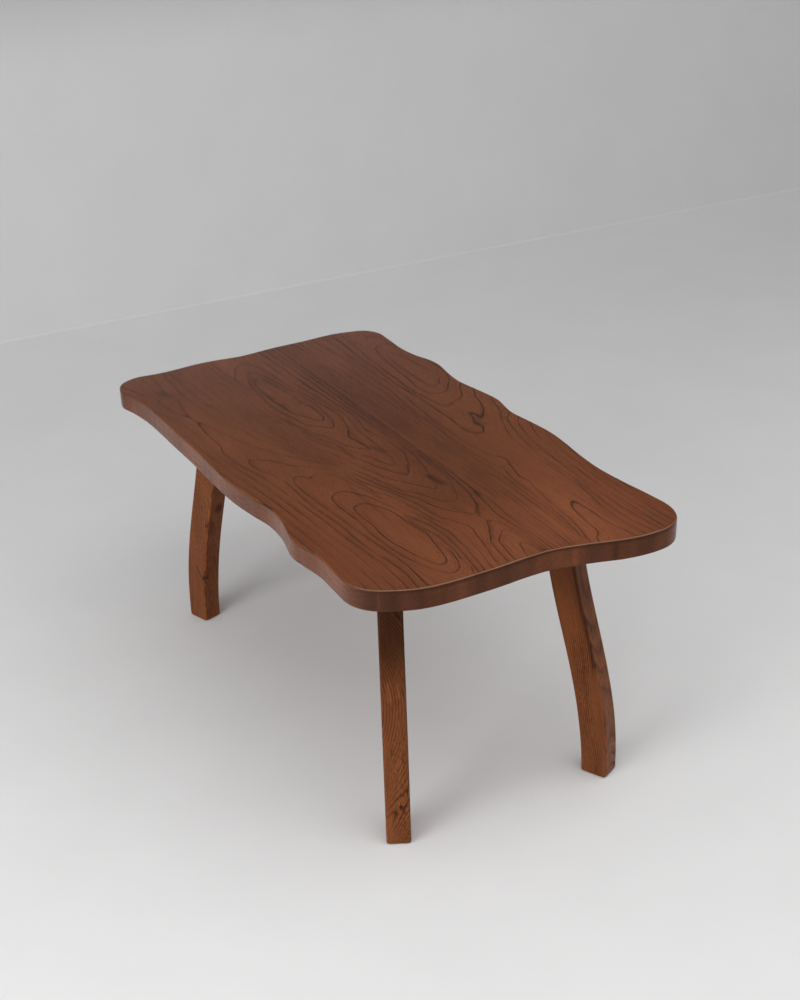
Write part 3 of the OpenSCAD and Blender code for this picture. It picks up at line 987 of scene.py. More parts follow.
@dataclass(frozen=True)
class BowedLeg:
    """A leg of rectangular section that stands upright on the floor, leans in and comes upright again.

    Its pith drifts to and fro over the drift lengths, and wavers by a size, a length and a start.
    """

    place: LegPlace
    pith: tuple[float, float]
    ring_width: float
    knots: tuple[Knot, ...] = ()
    strokes: tuple[Stroke, ...] = ()
    waver: tuple[float, float, float] = (0.0, 130.0, 0.0)
    drift: float = 2.5
    drift_lengths: tuple[float, float] = (61.0, 43.0)
    figure: float = 0.6
    sweep: float = 75.0
    bend: float = 1.15
    depth: float = 48.0
    foot_depth: float = 45.0
    ankle_height: float = 110.0
    thick: float = 38.0
    edge_round: float = 4.0
    foot_bevel: float = 4.5
    bevel_steps: int = 4
    rows: int = 150
    corner_steps: int = 4
    flat_steps: int = 20

    def middle(self, height: np.ndarray) -> np.ndarray:
        """Middle of the leg out from the middle of its foot: minus the sweep times the eased, bent height."""
        return -self.sweep * ease(np.power(np.clip(height / UNDERSIDE, 0.0, 1.0), self.bend))

    def section(self, depth: float, thick: float) -> np.ndarray:
        """Rounded rectangle, anticlockwise: quarter circles joined by flats with even steps."""
        half = np.array([depth / 2 - self.edge_round, thick / 2 - self.edge_round])
        signs = np.array([[1, 1], [-1, 1], [-1, -1], [1, -1]])
        turn = np.linspace(0.0, math.pi / 2, self.corner_steps + 1)
        rows = []
        for number, sign in enumerate(signs):
            angle = turn + number * math.pi / 2
            corner = sign * half + self.edge_round * np.c_[np.cos(angle), np.sin(angle)]
            following = signs[(number + 1) % 4] * half + self.edge_round * np.array(
                [math.cos(angle[-1]), math.sin(angle[-1])])
            share = np.linspace(0.0, 1.0, self.flat_steps + 1)[1:-1, None]
            rows += [corner, corner[-1] * (1 - share) + following * share]
        return np.concatenate(rows)

    def build(self) -> bpy.types.Object:
        """Builds the leg: its section carried up its bent middle line, each ring square to the run.

        Returns:
            The leg's piece, with its own space and the figure of its grain stored at its vertices.
        """
        name, side_x, side_y, foot_x, foot_y, turn = self.place.value
        bevel_turn = np.linspace(0.0, math.pi / 2, self.bevel_steps + 1)
        low = self.foot_bevel * (1 - np.cos(bevel_turn))
        heights = np.r_[low, np.linspace(self.foot_bevel, UNDERSIDE, self.rows)[1:]]
        drawn_in = np.r_[self.foot_bevel * (1 - np.sin(bevel_turn)), np.zeros(self.rows - 1)]
        step = 1.0
        lower, upper = np.maximum(heights - step, 0.0), np.minimum(heights + step, UNDERSIDE)
        lean = (self.middle(upper) - self.middle(lower)) / (upper - lower)
        lean[heights <= 0.0] = 0.0
        lean[heights >= UNDERSIDE] = 0.0
        run = np.hypot(1.0, lean)
        filled = ease(np.clip(heights / self.ankle_height, 0.0, 1.0))
        depths = self.foot_depth + (self.depth - self.foot_depth) * filled
        sections = np.stack([
            self.section(d - 2 * b, self.thick - 2 * b) for d, b in zip(depths, drawn_in)
        ])
        out = self.middle(heights)[:, None] + sections[:, :, 0] / run[:, None]
        across = sections[:, :, 1]
        up = heights[:, None] - sections[:, :, 0] * (lean / run)[:, None]
        up = np.clip(up, 0.0, UNDERSIDE)
        angle = math.atan2(side_y * math.sin(math.radians(turn)), side_x * math.cos(math.radians(turn)))
        x = foot_x + out * math.cos(angle) - across * math.sin(angle)
        y = foot_y + out * math.sin(angle) + across * math.cos(angle)
        vertices = np.stack([x, y, up], -1).reshape(-1, 3)
        row_count, column_count = sections.shape[:2]
        walls = grid_faces(row_count, column_count, closed=True).tolist()
        caps = [list(range(column_count))[::-1], list(range(len(vertices) - column_count, len(vertices)))]
        piece = make_mesh(f"leg_{name}_finished", vertices, walls + caps)
        along = np.r_[0.0, np.cumsum(np.diff(heights) * (run[1:] + run[:-1]) / 2)]
        self._store_figure(piece, sections, heights, along)
        return piece

    def _store_figure(self, piece: bpy.types.Object, sections: np.ndarray, heights: np.ndarray,
                      along: np.ndarray) -> None:
        """Stores the leg's own space, its rings, its tone and its arrises.

        The blank's grain runs straight from the leg's foot to its head, so a place in the wood is the
        place in the section plus the bow's distance from that straight line. A ring is the distance
        from a slightly wandering pith over the ring width, pushed aside by knots.
        """
        bow = self.middle(heights) + self.sweep * heights / UNDERSIDE
        depth = sections[:, :, 0] + bow[:, None]
        thick = sections[:, :, 1]
        length = np.repeat(along[:, None], depth.shape[1], 1)
        deep_length, thick_length = self.drift_lengths
        pith_depth = self.pith[0] + self.drift * np.sin(length / deep_length + self.pith[1])
        swing, swing_length, swing_start = self.waver
        pith_thick = (self.pith[1] + self.drift * np.sin(length / thick_length + self.pith[0])
                      + swing * (np.cos((length - swing_start) / swing_length) - 1.0))
        ring = np.hypot(depth - pith_depth, thick - pith_thick) / self.ring_width
        heart = np.zeros_like(ring)
        for knot in self.knots:
            distance = knot.distance(length, sections[:, :, 0], thick)
            ring = ring + knot.push * np.exp(-(distance / (knot.reach * knot.radius)) ** 2)
            heart = np.maximum(heart, np.clip(knot.edge - distance / knot.radius, 0.0, 1.0))
        set_attribute(piece, "ring", ring.ravel())
        set_attribute(piece, "slope", np.full(ring.size, 1.0 / self.ring_width))
        set_attribute(piece, "dark", np.full(ring.size, self.figure))
        set_attribute(piece, "heart", heart.ravel())
        places = np.stack([length, sections[:, :, 0], thick], -1).reshape(-1, 3)
        tone = tone_at(places, self.strokes) if self.strokes else np.ones(ring.size)
        set_attribute(piece, "tone", tone)
        corner = np.sin(np.linspace(0.0, math.pi, self.corner_steps + 1))
        arris = np.tile(np.r_[corner, np.zeros(self.flat_steps - 1)], 4)
        set_attribute(piece, "arris", np.tile(arris, len(heights)))
        set_attribute(piece, "space", np.stack([length, depth, thick], -1).reshape(-1, 3))


class Graph:
    """A material's node tree, with short calls for the nodes that the finishes need."""

    def __init__(self, name: str) -> None:
        """Starts an empty tree in a new material of that name."""
        self.material = bpy.data.materials.new(name)
        self.material.use_nodes = True
        self.tree = self.material.node_tree
        self.tree.nodes.clear()

    def node(self, kind: str, feeds: dict | None = None, **settings: object) -> bpy.types.Node:
        """Adds a node.

        Args:
            kind: The node's type, without its leading ShaderNode.
            feeds: A socket or a constant for each input that is named or numbered.
            settings: The node's own options.

        Returns:
            The new node.
        """
        made = self.tree.nodes.new(f"ShaderNode{kind}")
        for option, value in settings.items():
            setattr(made, option, value)
        for key, value in (feeds or {}).items():
            if isinstance(value, bpy.types.NodeSocket):
                self.tree.links.new(value, made.inputs[key])
            elif made.inputs[key].type == "RGBA":
                made.inputs[key].default_value = (*value, 1.0)
            else:
                made.inputs[key].default_value = value
        return made

    def math(self, operation: str, *values: Socket | float) -> Socket:
        """Result of a Math node."""
        return self.node("Math", dict(enumerate(values)), operation=operation).outputs[0]

    def attribute(self, name: str, output: str = "Fac") -> Socket:
        """Value stored at the piece's vertices."""
        return self.node("Attribute", attribute_name=name).outputs[output]

    def stretch(self, place: Socket, scale: Cells) -> Socket:
        """Place with each axis multiplied by its own number."""
        return self.node("VectorMath", {0: place, 1: scale}, operation="MULTIPLY").outputs[0]

    def noise(self, place: Socket, scale: Cells, detail: float = 2.0, roughness: float = 0.5) -> Socket:
        """Soft noise around a half, with so many cells to the metre along each axis."""
        feeds = {"Vector": self.stretch(place, scale), "Scale": 1.0, "Detail": detail, "Roughness": roughness}
        return self.node("TexNoise", feeds).outputs[0]

    def spread(self, value: Socket, low: float, high: float, to_low: float = 0.0, to_high: float = 1.0,
               way: str = "LINEAR") -> Socket:
        """Value carried from one span to another and held inside it."""
        feeds = {0: value, 1: low, 2: high, 3: to_low, 4: to_high}
        return self.node("MapRange", feeds, interpolation_type=way).outputs[0]

    def mix(self, share: Socket | float, first: Socket | Colour, second: Socket | Colour) -> Socket:
        """Colour between two colours."""
        return self.node("Mix", {0: share, 6: first, 7: second}, data_type="RGBA").outputs[2]

    def tint(self, colour: Socket, factor: Socket | float) -> Socket:
        """Colour made lighter or darker by a factor."""
        return self.node("VectorMath", {0: colour, "Scale": factor}, operation="SCALE").outputs[0]

    def finish(self, surface: Socket) -> bpy.types.Material:
        """Ends the tree in a surface shader and hands over the material."""
        self.node("OutputMaterial", {"Surface": surface})
        return self.material


@dataclass(frozen=True)
class Growth:
    """How the growth lines of a piece of elm show, with widths in millimetres.

    A vein's width is a share of the step between two of its noise's levels.
    """

    line_width: float = 1.05
    halo_width: float = 2.8
    line_share: float = 1.2
    halo_share: float = 0.37
    fine_width: float = 1.9
    fine_share: float = 0.5
    vein_share: float = 0.3
    vein_levels: float = 9.0
    vein_width: float = 0.12
    wander: float = 6.0
    tremble: float = 1.5
    least_slope: float = 0.012


@dataclass(frozen=True)
class ElmGrain:
    """Cells to the metre of each noise in elm, along the grain first."""

    fibre: Cells = (12.0, 560.0, 560.0)
    streak: Cells = (3.5, 150.0, 150.0)
    cloud: Cells = (2.6, 6.5, 6.5)
    pore: Cells = (34.0, 950.0, 950.0)
    wander: Cells = (14.0, 45.0, 45.0)
    tremble: Cells = (30.0, 230.0, 230.0)
    patch: Cells = (9.0, 34.0, 34.0)
    vein: Cells = (2.6, 95.0, 95.0)
    vein_patch: Cells = (5.0, 24.0, 24.0)
    end_patch: Cells = (30.0, 34.0, 9.0)
    wear: Cells = (16.0, 16.0, 16.0)
    fleck_patch: Cells = (7.0, 22.0, 22.0)
    fleck: Cells = (150.0, 420.0, 420.0)


@dataclass(frozen=True)
class ElmColours:
    """Linear colours of stained elm: early wood, the darker and lighter wood, and an arris that is worn and
    carries a painted highlight.
    """

    deep: Colour = (0.036, 0.0110, 0.0036)
    dusk: Colour = (0.126, 0.0388, 0.0155)
    glow: Colour = (0.220, 0.0680, 0.0268)
    # Lighter colour of wear and of a painted highlight on the arris.
    worn_and_highlight: Colour = (0.42, 0.24, 0.16)


@dataclass(frozen=True)
class LacqueredElm:
    """Dark-stained elm under a satin lacquer.

    The ring number stored on the piece gives each dark growth line, its fading halo and finer lines
    between. Noise that is long along the grain gives streaks and pores, which crowd in the early wood.
    """

    name: str
    colours: ElmColours = ElmColours()
    own_space: bool = False
    growth: Growth = Growth()
    grain: ElmGrain = ElmGrain()
    roughness: float = 0.27
    sheen_level: float = 0.28
    streaks: float = 0.12
    fibres: float = 0.09
    flecks: float = 0.3
    relief: float = 0.0003
    bump: float = 0.25
    end_figure: float = 0.35
    end_sheen: float = 0.45
    end_shade: tuple[float, float] = (0.35, 0.52)
    # How much more of the lighter colour the end grain's arris gets, for wear and a painted highlight.
    end_wear_and_highlight: float = 0.42
    side_wear: float = 0.12
    under_line: float = 0.75
    pore_stain: float = 0.36
    line_stain: float = 0.95
    knot_stain: float = 0.85
    arris_wear_and_highlight: float = 1.08
    arris_sheen: float = 0.3
    seed: float = 0.0

    def material(self) -> bpy.types.Material:
        """Builds the finish.

        Returns:
            The material.
        """
        g = Graph(self.name)
        place = self._place(g)
        figure = self._figure(g, place)
        if not self.own_space:
            figure = g.math("MULTIPLY", figure, g.spread(g.attribute("end"), 0.0, 1.0, 1.0, self.end_figure))
        fibre = g.noise(place, self.grain.fibre, 2.0, 0.6)
        streak = g.noise(place, self.grain.streak, 4.0, 0.65)
        cloud = g.noise(place, self.grain.cloud, 3.0, 0.6)
        tone = g.math("ADD", g.spread(streak, 0.25, 0.75, -self.streaks, self.streaks),
                      g.spread(fibre, 0.25, 0.75, -self.fibres, self.fibres))
        tone = g.math("ADD", tone, g.spread(cloud, 0.3, 0.7, 0.22, 0.78))
        wood = g.mix(g.spread(tone, 0.0, 1.0), self.colours.dusk, self.colours.glow)
        pore = g.noise(place, self.grain.pore, 1.0)
        pore = g.math("ADD", pore, g.math("MULTIPLY", figure, 0.10))
        pore = g.spread(pore, 0.60, 0.70)
        wood = g.mix(g.math("MULTIPLY", pore, self.pore_stain), wood, self.colours.deep)
        wood = g.mix(g.math("MINIMUM", figure, self.line_stain), wood, self.colours.deep)
        wood = g.tint(wood, g.attribute("tone"))
        wood = self._ends(g, place, wood) if not self.own_space else self._knots(g, place, wood)
        gloss = g.math("ADD", g.spread(fibre, 0.2, 0.8, -0.05, 0.05), g.math("MULTIPLY", figure, 0.10))
        gloss = g.math("ADD", gloss, self.roughness)
        sunk = g.math("ADD", g.math("MULTIPLY", figure, 0.6), g.math("MULTIPLY", pore, 0.5))
        height = g.math("SUBTRACT", fibre, sunk)
        bump = g.node("Bump", {"Strength": self.bump, "Distance": self.relief, "Height": height})
        sheen = self._sheen(g)
        surface = g.node("BsdfPrincipled", {
            "Base Color": wood, "Roughness": gloss, "Specular IOR Level": sheen,
            "Normal": bump.outputs[0],
        })
        return g.finish(surface.outputs[0])

    def _sheen(self, g: Graph) -> Socket:
        """Level of the lacquer's reflection: less on end grain and on an arris along the grain."""
        end = g.attribute("end")
        level = g.spread(end, 0.0, 1.0, self.sheen_level, self.end_sheen * self.sheen_level)
        upper = g.math("MAXIMUM", g.attribute("arris"), 0.0)
        rounding = g.math("MULTIPLY", upper, g.math("SUBTRACT", 1.0, end))
        return g.math("MULTIPLY", level, g.spread(rounding, 0.0, 1.0, 1.0, self.arris_sheen))

    def _place(self, g: Graph) -> Socket:
        """Place in metres with the grain along the first axis."""
        if self.own_space:
            return g.stretch(g.attribute("space", "Vector"), (MM, MM, MM))
        return g.node("TexCoord").outputs["Object"]

    def _figure(self, g: Graph, place: Socket) -> Socket:
        """Darkness of the growth lines.

        The distance to a line is the broken part of the ring number over its slope. A line is a bell
        curve over that distance, its halo falls off on one side only, as early wood fades into late
        wood, and the fine lines are those of three times the ring number. Veins follow the fibre,
        where a long noise crosses even levels.
        """
        growth, grain = self.growth, self.grain
        ring, dark = g.attribute("ring"), g.attribute("dark")
        slope = g.math("MAXIMUM", g.attribute("slope"), growth.least_slope)
        wander = g.math("SUBTRACT", g.noise(place, grain.wander, 4.0, 0.62), 0.5)
        tremble = g.math("SUBTRACT", g.noise(place, grain.tremble, 1.0), 0.5)
        wander = g.math("MULTIPLY", wander, growth.wander)
        tremble = g.math("MULTIPLY", tremble, growth.tremble)
        shift = g.math("MULTIPLY", g.math("ADD", wander, tremble), slope)
        moved = g.math("ADD", ring, shift)
        nearest = g.math("ROUND", moved)
        off = g.math("DIVIDE", g.math("SUBTRACT", moved, nearest), slope)
        own = g.math("ADD", nearest, self.seed)
        chance = g.node("TexWhiteNoise", {"W": own}, noise_dimensions="1D").outputs[0]
        strength = g.math("MULTIPLY", g.spread(chance, 0.0, 1.0, 0.8, 1.1),
                          g.spread(g.noise(place, grain.patch, 3.0), 0.34, 0.64, 0.4, 1.15))
        strength = g.math("MULTIPLY", strength, g.spread(dark, 0.0, 2.0, 0.4, 1.8))
        trail = g.math("DIVIDE", g.math("MAXIMUM", off, 0.0), -growth.halo_width)
        halo = g.math("MULTIPLY", g.math("EXPONENT", trail), g.math("GREATER_THAN", off, 0.0))
        line = g.math("MULTIPLY", self._bell(g, off, growth.line_width), growth.line_share)
        line = g.math("MAXIMUM", line, g.math("MULTIPLY", halo, growth.halo_share))
        line = g.math("MULTIPLY", line, strength)
        thrice = g.math("MULTIPLY", g.math("ADD", ring, g.math("MULTIPLY", shift, 1.3)), 3.0)
        thrice_off = g.math("DIVIDE", g.math("SUBTRACT", thrice, g.math("ROUND", thrice)), slope)
        fine = self._bell(g, thrice_off, growth.fine_width)
        faintest = 0.4 * growth.fine_share
        patches = g.spread(g.noise(place, grain.patch), 0.35, 0.65, faintest, growth.fine_share)
        fine = g.math("MULTIPLY", fine, patches)
        swell = g.math("MULTIPLY", g.noise(place, grain.vein, 1.0), growth.vein_levels)
        vein = self._bell(g, g.math("SUBTRACT", swell, g.math("ROUND", swell)), growth.vein_width)
        patches = g.spread(g.noise(place, grain.vein_patch), 0.38, 0.62, 0.0, growth.vein_share)
        vein = g.math("MULTIPLY", vein, patches)
        return g.math("ADD", line, g.math("MAXIMUM", fine, vein))

    @staticmethod
    def _bell(g: Graph, off: Socket, width: float) -> Socket:
        """e to the minus square of the distance over the width."""
        share = g.math("DIVIDE", off, width)
        return g.math("EXPONENT", g.math("MULTIPLY", g.math("MULTIPLY", share, share), -1.0))

    def _ends(self, g: Graph, place: Socket, wood: Socket) -> Socket:
        """Darkens the end grain in upright patches, lightens the arris for its wear and a painted highlight,
        most on the end grain, and shades the line under it.
        """
        patch = g.spread(g.noise(place, self.grain.end_patch), 0.35, 0.65, *self.end_shade)
        wood = g.mix(g.attribute("end"), wood, g.tint(wood, patch))
        arris = g.attribute("arris")
        # Wear and painted highlight: a little at random along the sides, more on the end grain.
        wear = g.spread(g.noise(place, self.grain.wear, 3.0), 0.4, 0.6, 0.0, self.side_wear)
        wear = g.math("ADD", wear, g.math("MULTIPLY", g.attribute("end"), self.end_wear_and_highlight))
        wood = g.mix(g.math("MULTIPLY", g.math("MAXIMUM", arris, 0.0), wear), wood, self.colours.worn_and_highlight)
        under = g.math("MULTIPLY", g.attribute("end"), -self.under_line)
        under = g.math("MULTIPLY", g.math("MINIMUM", arris, 0.0), under)
        return g.mix(under, wood, self.colours.deep)

    def _knots(self, g: Graph, place: Socket, wood: Socket) -> Socket:
        """Flecks a leg in patches, lightens its arrises for wear and a painted highlight, and darkens the
        heart of each knot.
        """
        patch = g.spread(g.noise(place, self.grain.fleck_patch), 0.4, 0.6)
        fleck = g.spread(g.noise(place, self.grain.fleck, 1.0), 0.3, 0.7, -self.flecks, self.flecks)
        wood = g.tint(wood, g.math("MULTIPLY_ADD", fleck, patch, 1.0))
        # Lighter arrises: wear and a painted highlight.
        wood = g.tint(wood, g.spread(g.attribute("arris"), 0.0, 1.0, 1.0, self.arris_wear_and_highlight))
        return g.mix(g.math("MINIMUM", g.attribute("heart"), self.knot_stain), wood, self.colours.deep)


@dataclass(frozen=True)
class BareWood:
    """Plain sawn wood without lacquer, for the pieces inside the joints."""

    name: str
    dark: Colour
    light: Colour
    grain: Cells

    def material(self) -> bpy.types.Material:
        """Builds the finish: streaks, pores and a dry, slightly rough face.

        Returns:
            The material.
        """
        g = Graph(self.name)
        place = g.node("TexCoord").outputs["Object"]
        streak = g.noise(place, self.grain, 4.0, 0.65)
        fleck = g.spread(g.noise(place, tuple(5 * share for share in self.grain), 1.0), 0.6, 0.75)
        cloud = g.noise(place, (20.0, 20.0, 20.0))
        wood = g.mix(g.spread(streak, 0.3, 0.7), self.dark, self.light)
        wood = g.mix(g.math("MULTIPLY", fleck, 0.5), wood, self.dark)
        wood = g.tint(wood, g.spread(cloud, 0.3, 0.7, 0.92, 1.06))
        bump = g.node("Bump", {"Strength": 0.4, "Distance": 0.0003, "Height": streak})
        surface = g.node("BsdfPrincipled", {
            "Base Color": wood, "Roughness": g.spread(streak, 0.3, 0.7, 0.62, 0.78),
            "Specular IOR Level": 0.3, "Normal": bump.outputs[0],
        })
        return g.finish(surface.outputs[0])


@dataclass(frozen=True)
class Plaster:
    """Pale matt paint with a faint mottle, seen only from its front.

    Painted shade darkens the floor a little towards the wall, and the wall high up.
    """

    name: str = "pale_plaster"
    light: Colour = (0.81, 0.81, 0.81)
    dark: Colour = (0.785, 0.785, 0.785)
    wall_share: float = 1.033
    wall_foot: float = 0.012
    shade: tuple[float, float, float, float] = (-2.15, -0.7, 0.945, 1.0)
    height_shade: tuple[float, float, float, float] = (0.7, 1.5, 1.0, 0.1)
    sheen_level: float = 0.2

    def material(self) -> bpy.types.Material:
        """Builds the finish, with its back clear so that the room can be seen from outside.

        Returns:
            The material.
        """
        g = Graph(self.name)
        place = g.node("TexCoord").outputs["Object"]
        mottle = g.noise(place, (5.0, 5.0, 5.0), 5.0, 0.6)
        paint = g.mix(g.spread(mottle, 0.3, 0.7), self.dark, self.light)
        apart = g.node("SeparateXYZ", {0: place}).outputs
        height = apart[2]
        # Painted shade: darker near the wall, and on the wall high up.
        paint = g.tint(paint, g.spread(apart[0], *self.shade))
        paint = g.tint(paint, g.spread(height, 0.0, self.wall_foot, 1.0, self.wall_share))
        paint = g.tint(paint, g.spread(height, *self.height_shade, "SMOOTHSTEP"))
        rough = g.spread(mottle, 0.3, 0.7, 0.85, 0.95)
        surface = g.node("BsdfPrincipled", {
            "Base Color": paint, "Roughness": rough, "Specular IOR Level": self.sheen_level,
        })
        back = g.node("NewGeometry").outputs["Backfacing"]
        clear = g.node("BsdfTransparent")
        return g.finish(g.node("MixShader", {0: back, 1: surface.outputs[0], 2: clear.outputs[0]}).outputs[0])


def aim(holder: bpy.types.Object, right: np.ndarray, up: np.ndarray, back: np.ndarray,
        place: tuple[float, float, float]) -> None:
    """Turns and moves a lamp or camera so that its axes lie along right, up and back."""
    turned = Matrix(np.c_[right, up, back].tolist()).to_4x4()
    holder.matrix_world = Matrix.Translation(place) @ turned


@dataclass(frozen=True)
class Softbox:
    """A soft rectangular lamp: where it hangs, where it looks, its size and its power in watts."""

    name: str
    place: tuple[float, float, float]
    target: tuple[float, float, float]
    size: tuple[float, float]
    power: float
    steepest: float = 0.99

    def build(self) -> None:
        """Hangs the lamp, with its first side level and its back away from its target."""
        lamp = bpy.data.lights.new(self.name, "AREA")
        lamp.shape = "RECTANGLE"
        lamp.size, lamp.size_y = self.size
        lamp.energy = self.power
        holder = bpy.data.objects.new(self.name, lamp)
        back = np.array(self.place) - np.array(self.target)
        back /= np.linalg.norm(back)
        steep = abs(back[2]) >= self.steepest
        side = np.array([1.0, 0.0, 0.0]) if steep else np.array([-back[1], back[0], 0.0])
        side /= np.linalg.norm(side)
        aim(holder, side, np.cross(back, side), back, self.place)
        holder.visible_camera = False
        bpy.context.scene.collection.objects.link(holder)


@dataclass(frozen=True)
class Studio:
    """Pale floor that sweeps up into a wall, two soft lamps, a plain sky and the camera."""

    wall_x: float = -2.15
    sweep_radius: float = 0.007
    sweep_steps: int = 8
    wall_height: float = 3.2
    floor_end: float = 7.0
    half_width: float = 7.0
    eye: tuple[float, float, float] = (2.0415, -1.0279, 1.4967)
    pitch: float = 0.456795412
    roll: float = -0.0313460095
    yaw: float = 2.65526321
    focal_pixels: float = 1530.35
    picture_height: float = 1000.0
    sensor: float = 36.0
    lamps: tuple[Softbox, ...] = (
        Softbox("studio_softbox_overhead", (2.0, -0.3, 2.8), (2.0, -0.3, 0.0), (3.2, 5.2), 59.0),
        Softbox("studio_softbox_side", (1.0, -3.0, 1.6), (0.0, 0.0, 0.2), (1.6, 1.6), 40.0),
    )
    sky_level: float = 0.6
    sky_dim: float = 0.12
    sky_low: float = -0.1
    sky_high: float = 0.8

    def build(self) -> None:
        """Builds the room, the lamps, the sky and the camera."""
        self._room()
        for lamp in self.lamps:
            lamp.build()
        self._sky()
        self._camera()

    def _room(self) -> None:
        """Sweeps one profile along Y: the floor, a quarter circle, and the wall."""
        turn = np.linspace(0.0, math.pi / 2, self.sweep_steps + 1)
        x = np.r_[self.floor_end, self.wall_x + self.sweep_radius * (1 - np.sin(turn)), self.wall_x]
        z = np.r_[0.0, self.sweep_radius * (1 - np.cos(turn)), self.wall_height]
        y = np.array([-self.half_width, self.half_width])
        vertices = np.stack([
            np.repeat(x[:, None], 2, 1), np.repeat(y[None, :], len(x), 0), np.repeat(z[:, None], 2, 1),
        ], -1).reshape(-1, 3)
        room = make_mesh("studio_room", vertices / MM, grid_faces(len(x), 2).tolist())
        room.data.materials.append(Plaster().material())

    def _sky(self) -> None:
        """A grey sky that brightens from the horizon to overhead, by the height of the direction."""
        world = bpy.data.worlds.new("studio_sky")
        bpy.context.scene.world = world
        world.use_nodes = True
        nodes, links = world.node_tree.nodes, world.node_tree.links
        direction = nodes.new("ShaderNodeSeparateXYZ")
        links.new(nodes.new("ShaderNodeTexCoord").outputs["Generated"], direction.inputs[0])
        level = nodes.new("ShaderNodeMapRange")
        level.interpolation_type = "SMOOTHSTEP"
        values = (self.sky_low, self.sky_high, self.sky_dim, self.sky_level)
        for socket, value in zip(list(level.inputs)[1:5], values):
            socket.default_value = value
        links.new(direction.outputs["Z"], level.inputs[0])
        links.new(level.outputs[0], nodes["Background"].inputs["Strength"])
        nodes["Background"].inputs["Color"].default_value = (1.0, 1.0, 1.0, 1.0)

    def _camera(self) -> None:
        """Camera that looks along its yaw and down its pitch, then rolls."""
        forward = np.array([
            math.cos(self.yaw) * math.cos(self.pitch), math.sin(self.yaw) * math.cos(self.pitch),
            -math.sin(self.pitch),
        ])
        right = np.array([math.sin(self.yaw), -math.cos(self.yaw), 0.0])
        up = np.cross(right, forward)
        rolled_right = math.cos(self.roll) * right + math.sin(self.roll) * up
        rolled_up = -math.sin(self.roll) * right + math.cos(self.roll) * up
        camera = bpy.data.cameras.new("studio_camera")
        camera.sensor_width = self.sensor
        camera.lens = self.focal_pixels * self.sensor / self.picture_height
        holder = bpy.data.objects.new("studio_camera", camera)
        aim(holder, rolled_right, rolled_up, -forward, self.eye)
        bpy.context.scene.collection.objects.link(holder)
        bpy.context.scene.camera = holder


FRONT_ELM = LacqueredElm("front_board_elm", seed=3.0)
MIDDLE_ELM = LacqueredElm("middle_board_elm", seed=11.0)
BACK_ELM = LacqueredElm("back_board_elm", seed=23.0)
LEG_ELM = LacqueredElm(
    "leg_elm",
    ElmColours(deep=(0.052, 0.014, 0.004), dusk=(0.205, 0.063, 0.0205), glow=(0.330, 0.108, 0.036)),
    own_space=True, sheen_level=0.085, streaks=0.18, arris_sheen=1.0, seed=31.0,
    growth=Growth(
        line_width=0.72, line_share=0.85, halo_share=0.4, fine_share=0.25, vein_share=0.25,
        wander=2.6, tremble=1.8,
    ),
)
DOWEL_BEECH = BareWood(
    "dowel_beech", dark=(0.42, 0.24, 0.13), light=(0.60, 0.40, 0.24), grain=(400.0, 18.0, 400.0),
)
WEDGE_OAK = BareWood(
    "wedge_oak", dark=(0.26, 0.15, 0.07), light=(0.44, 0.29, 0.15), grain=(420.0, 420.0, 20.0),
)


@dataclass(frozen=True)
class TableTop:
    """The top: three boards glued edge to edge, with dowels in both glue lines."""

    outline: TopOutline = TopOutline()

    def build(self) -> None:
        """Builds and dresses each board, and dresses the dowels."""
        walk = OutlineWalk(self.outline)
        boards = (
            (Board(BoardPlace.FRONT, FRONT_BOARD_LINES), FRONT_ELM),
            (Board(BoardPlace.MIDDLE, MIDDLE_BOARD_LINES), MIDDLE_ELM),
            (Board(BoardPlace.BACK, BACK_BOARD_LINES), BACK_ELM),
        )
        for board, finish in boards:
            piece = board.build(walk)
            piece.data.materials.append(finish.material())
            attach(piece, "root")
            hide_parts(board.place.value)
            log.info("built %s with %d faces", piece.name, len(piece.data.polygons))
        dress_kept(("dowels_front_joint", "dowels_back_joint"), DOWEL_BEECH)


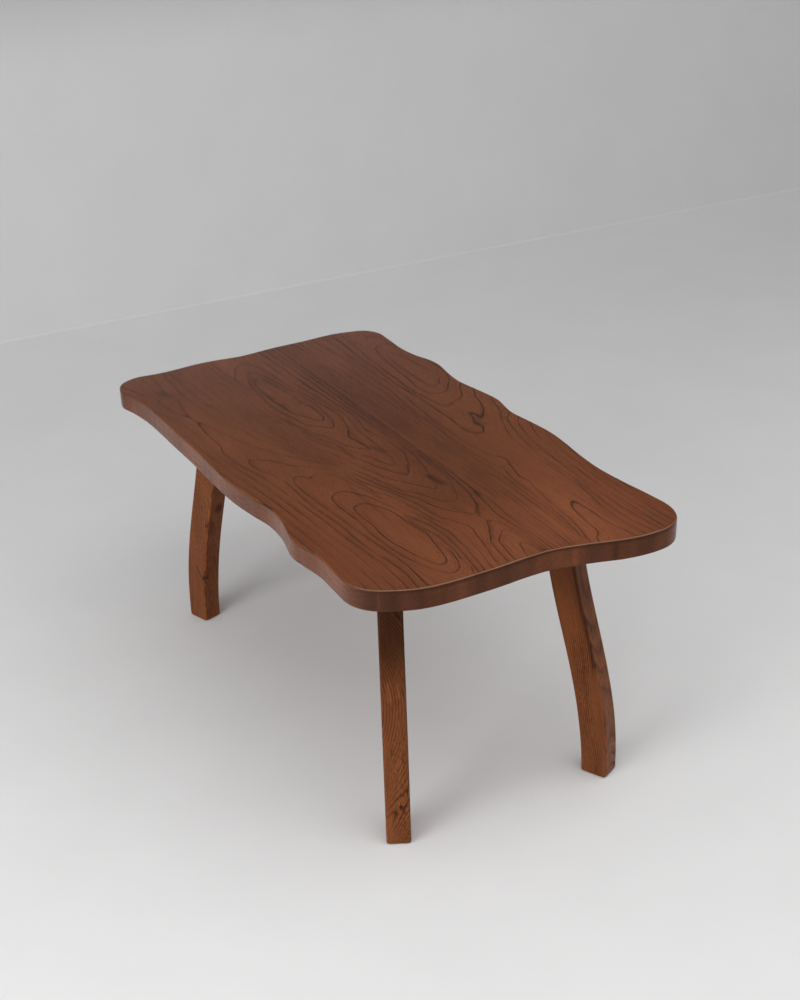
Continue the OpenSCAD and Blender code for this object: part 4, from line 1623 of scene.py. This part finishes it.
@dataclass(frozen=True)
class Understructure:
    """The four bowed legs and the wedges in their tenons."""

    legs: tuple[BowedLeg, ...] = (
        BowedLeg(LegPlace.FRONT_LEFT, pith=(-60.0, 50.0), ring_width=3.6, knots=(
            Knot(224.0, -20.0, 19.0, 3.0, 1.2), Knot(101.0, -22.0, 18.0, 4.5, 1.8),
            Knot(258.0, -27.0, -3.0, 8.0, 2.2), Knot(178.0, -27.0, -22.0, 6.0, 1.4),
        ), figure=0.3, strokes=(
            Stroke((236.0, -24.0, 17.0), (205.0, -24.0, 4.0), 8.0, -0.35),
            Stroke((126.0, -4.0, 19.0), (104.0, -19.0, 19.0), 3.0, 0.28),
            Stroke((120.0, -2.0, 19.0), (99.0, -17.0, 19.0), 2.2, -0.45),
            Stroke((300.0, -22.0, 19.0), (232.0, -22.0, 19.0), 3.0, 0.25),
            Stroke((150.0, -6.0, 19.0), (90.0, -6.0, 19.0), 16.0, -0.12),
            Stroke((340.0, -24.0, 0.0), (300.0, -24.0, 0.0), 14.0, -0.14),
        )),
        BowedLeg(LegPlace.FRONT_RIGHT, pith=(8.0, 64.0), ring_width=4.2, waver=(97.0, 130.0, 225.0), knots=(
            Knot(67.0, 22.0, 4.0, 2.2, 0.8),
        ), strokes=(
            # The first stroke is painted shade that the top casts on the head of the leg.
            Stroke((470.0, 20.0, 0.0), (330.0, 20.0, 0.0), 62.0, -0.68),
            Stroke((250.0, 20.0, 0.0), (140.0, 20.0, 0.0), 60.0, -0.14),
            Stroke((262.0, 24.0, -8.0), (236.0, 24.0, -6.0), 4.0, 0.35),
            Stroke((258.0, 24.0, 6.0), (240.0, 24.0, 8.0), 3.0, 0.2),
        )),
        BowedLeg(LegPlace.BACK_LEFT, pith=(50.0, -34.0), ring_width=3.6, knots=(
            Knot(250.0, 20.0, -10.0, 5.0, 0.9),
        )),
        BowedLeg(LegPlace.BACK_RIGHT, pith=(-64.0, 4.0), ring_width=3.4, knots=(
            Knot(98.0, 24.0, -15.0, 2.0, 0.6),
        ), figure=0.5, strokes=(
            Stroke((370.0, 22.0, -18.0), (200.0, 22.0, -18.0), 3.0, -0.62),
            # Painted shade that the top casts on the head of the leg.
            Stroke((440.0, 0.0, -10.0), (340.0, 0.0, -10.0), 50.0, -0.12),
            Stroke((170.0, 0.0, -10.0), (20.0, 0.0, -10.0), 50.0, -0.14),
            # Painted shade that dims the reflection on the narrow outer face.
            Stroke((330.0, 24.0, 0.0), (250.0, 24.0, 0.0), 14.0, -0.18),
            Stroke((60.0, 24.0, 0.0), (20.0, 24.0, 0.0), 14.0, 0.16),
        )),
    )

    def build(self) -> None:
        """Builds and dresses each leg, and dresses the wedges."""
        finish = LEG_ELM.material()
        for leg in self.legs:
            piece = leg.build()
            piece.data.materials.append(finish)
            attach(piece, "root")
            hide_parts(f"leg_{leg.place.value[0]}")
            log.info("built %s with %d faces", piece.name, len(piece.data.polygons))
        dress_kept(tuple(f"wedge_{leg.place.value[0]}" for leg in self.legs), WEDGE_OAK)


def dress_kept(nodes: tuple[str, ...], finish: BareWood) -> None:
    """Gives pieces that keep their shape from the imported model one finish."""
    material = finish.material()
    for name in nodes:
        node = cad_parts[name]
        node.data.materials.clear()
        node.data.materials.append(material)
        log.info("dressed %s", name)


def main() -> None:
    """Builds the table and the studio."""
    logging.basicConfig(level=logging.INFO, format="%(name)s: %(message)s")
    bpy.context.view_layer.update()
    bpy.context.scene.view_settings.view_transform = "Standard"
    TableTop().build()
    Understructure().build()
    Studio().build()


if __name__ == "__main__":
    main()
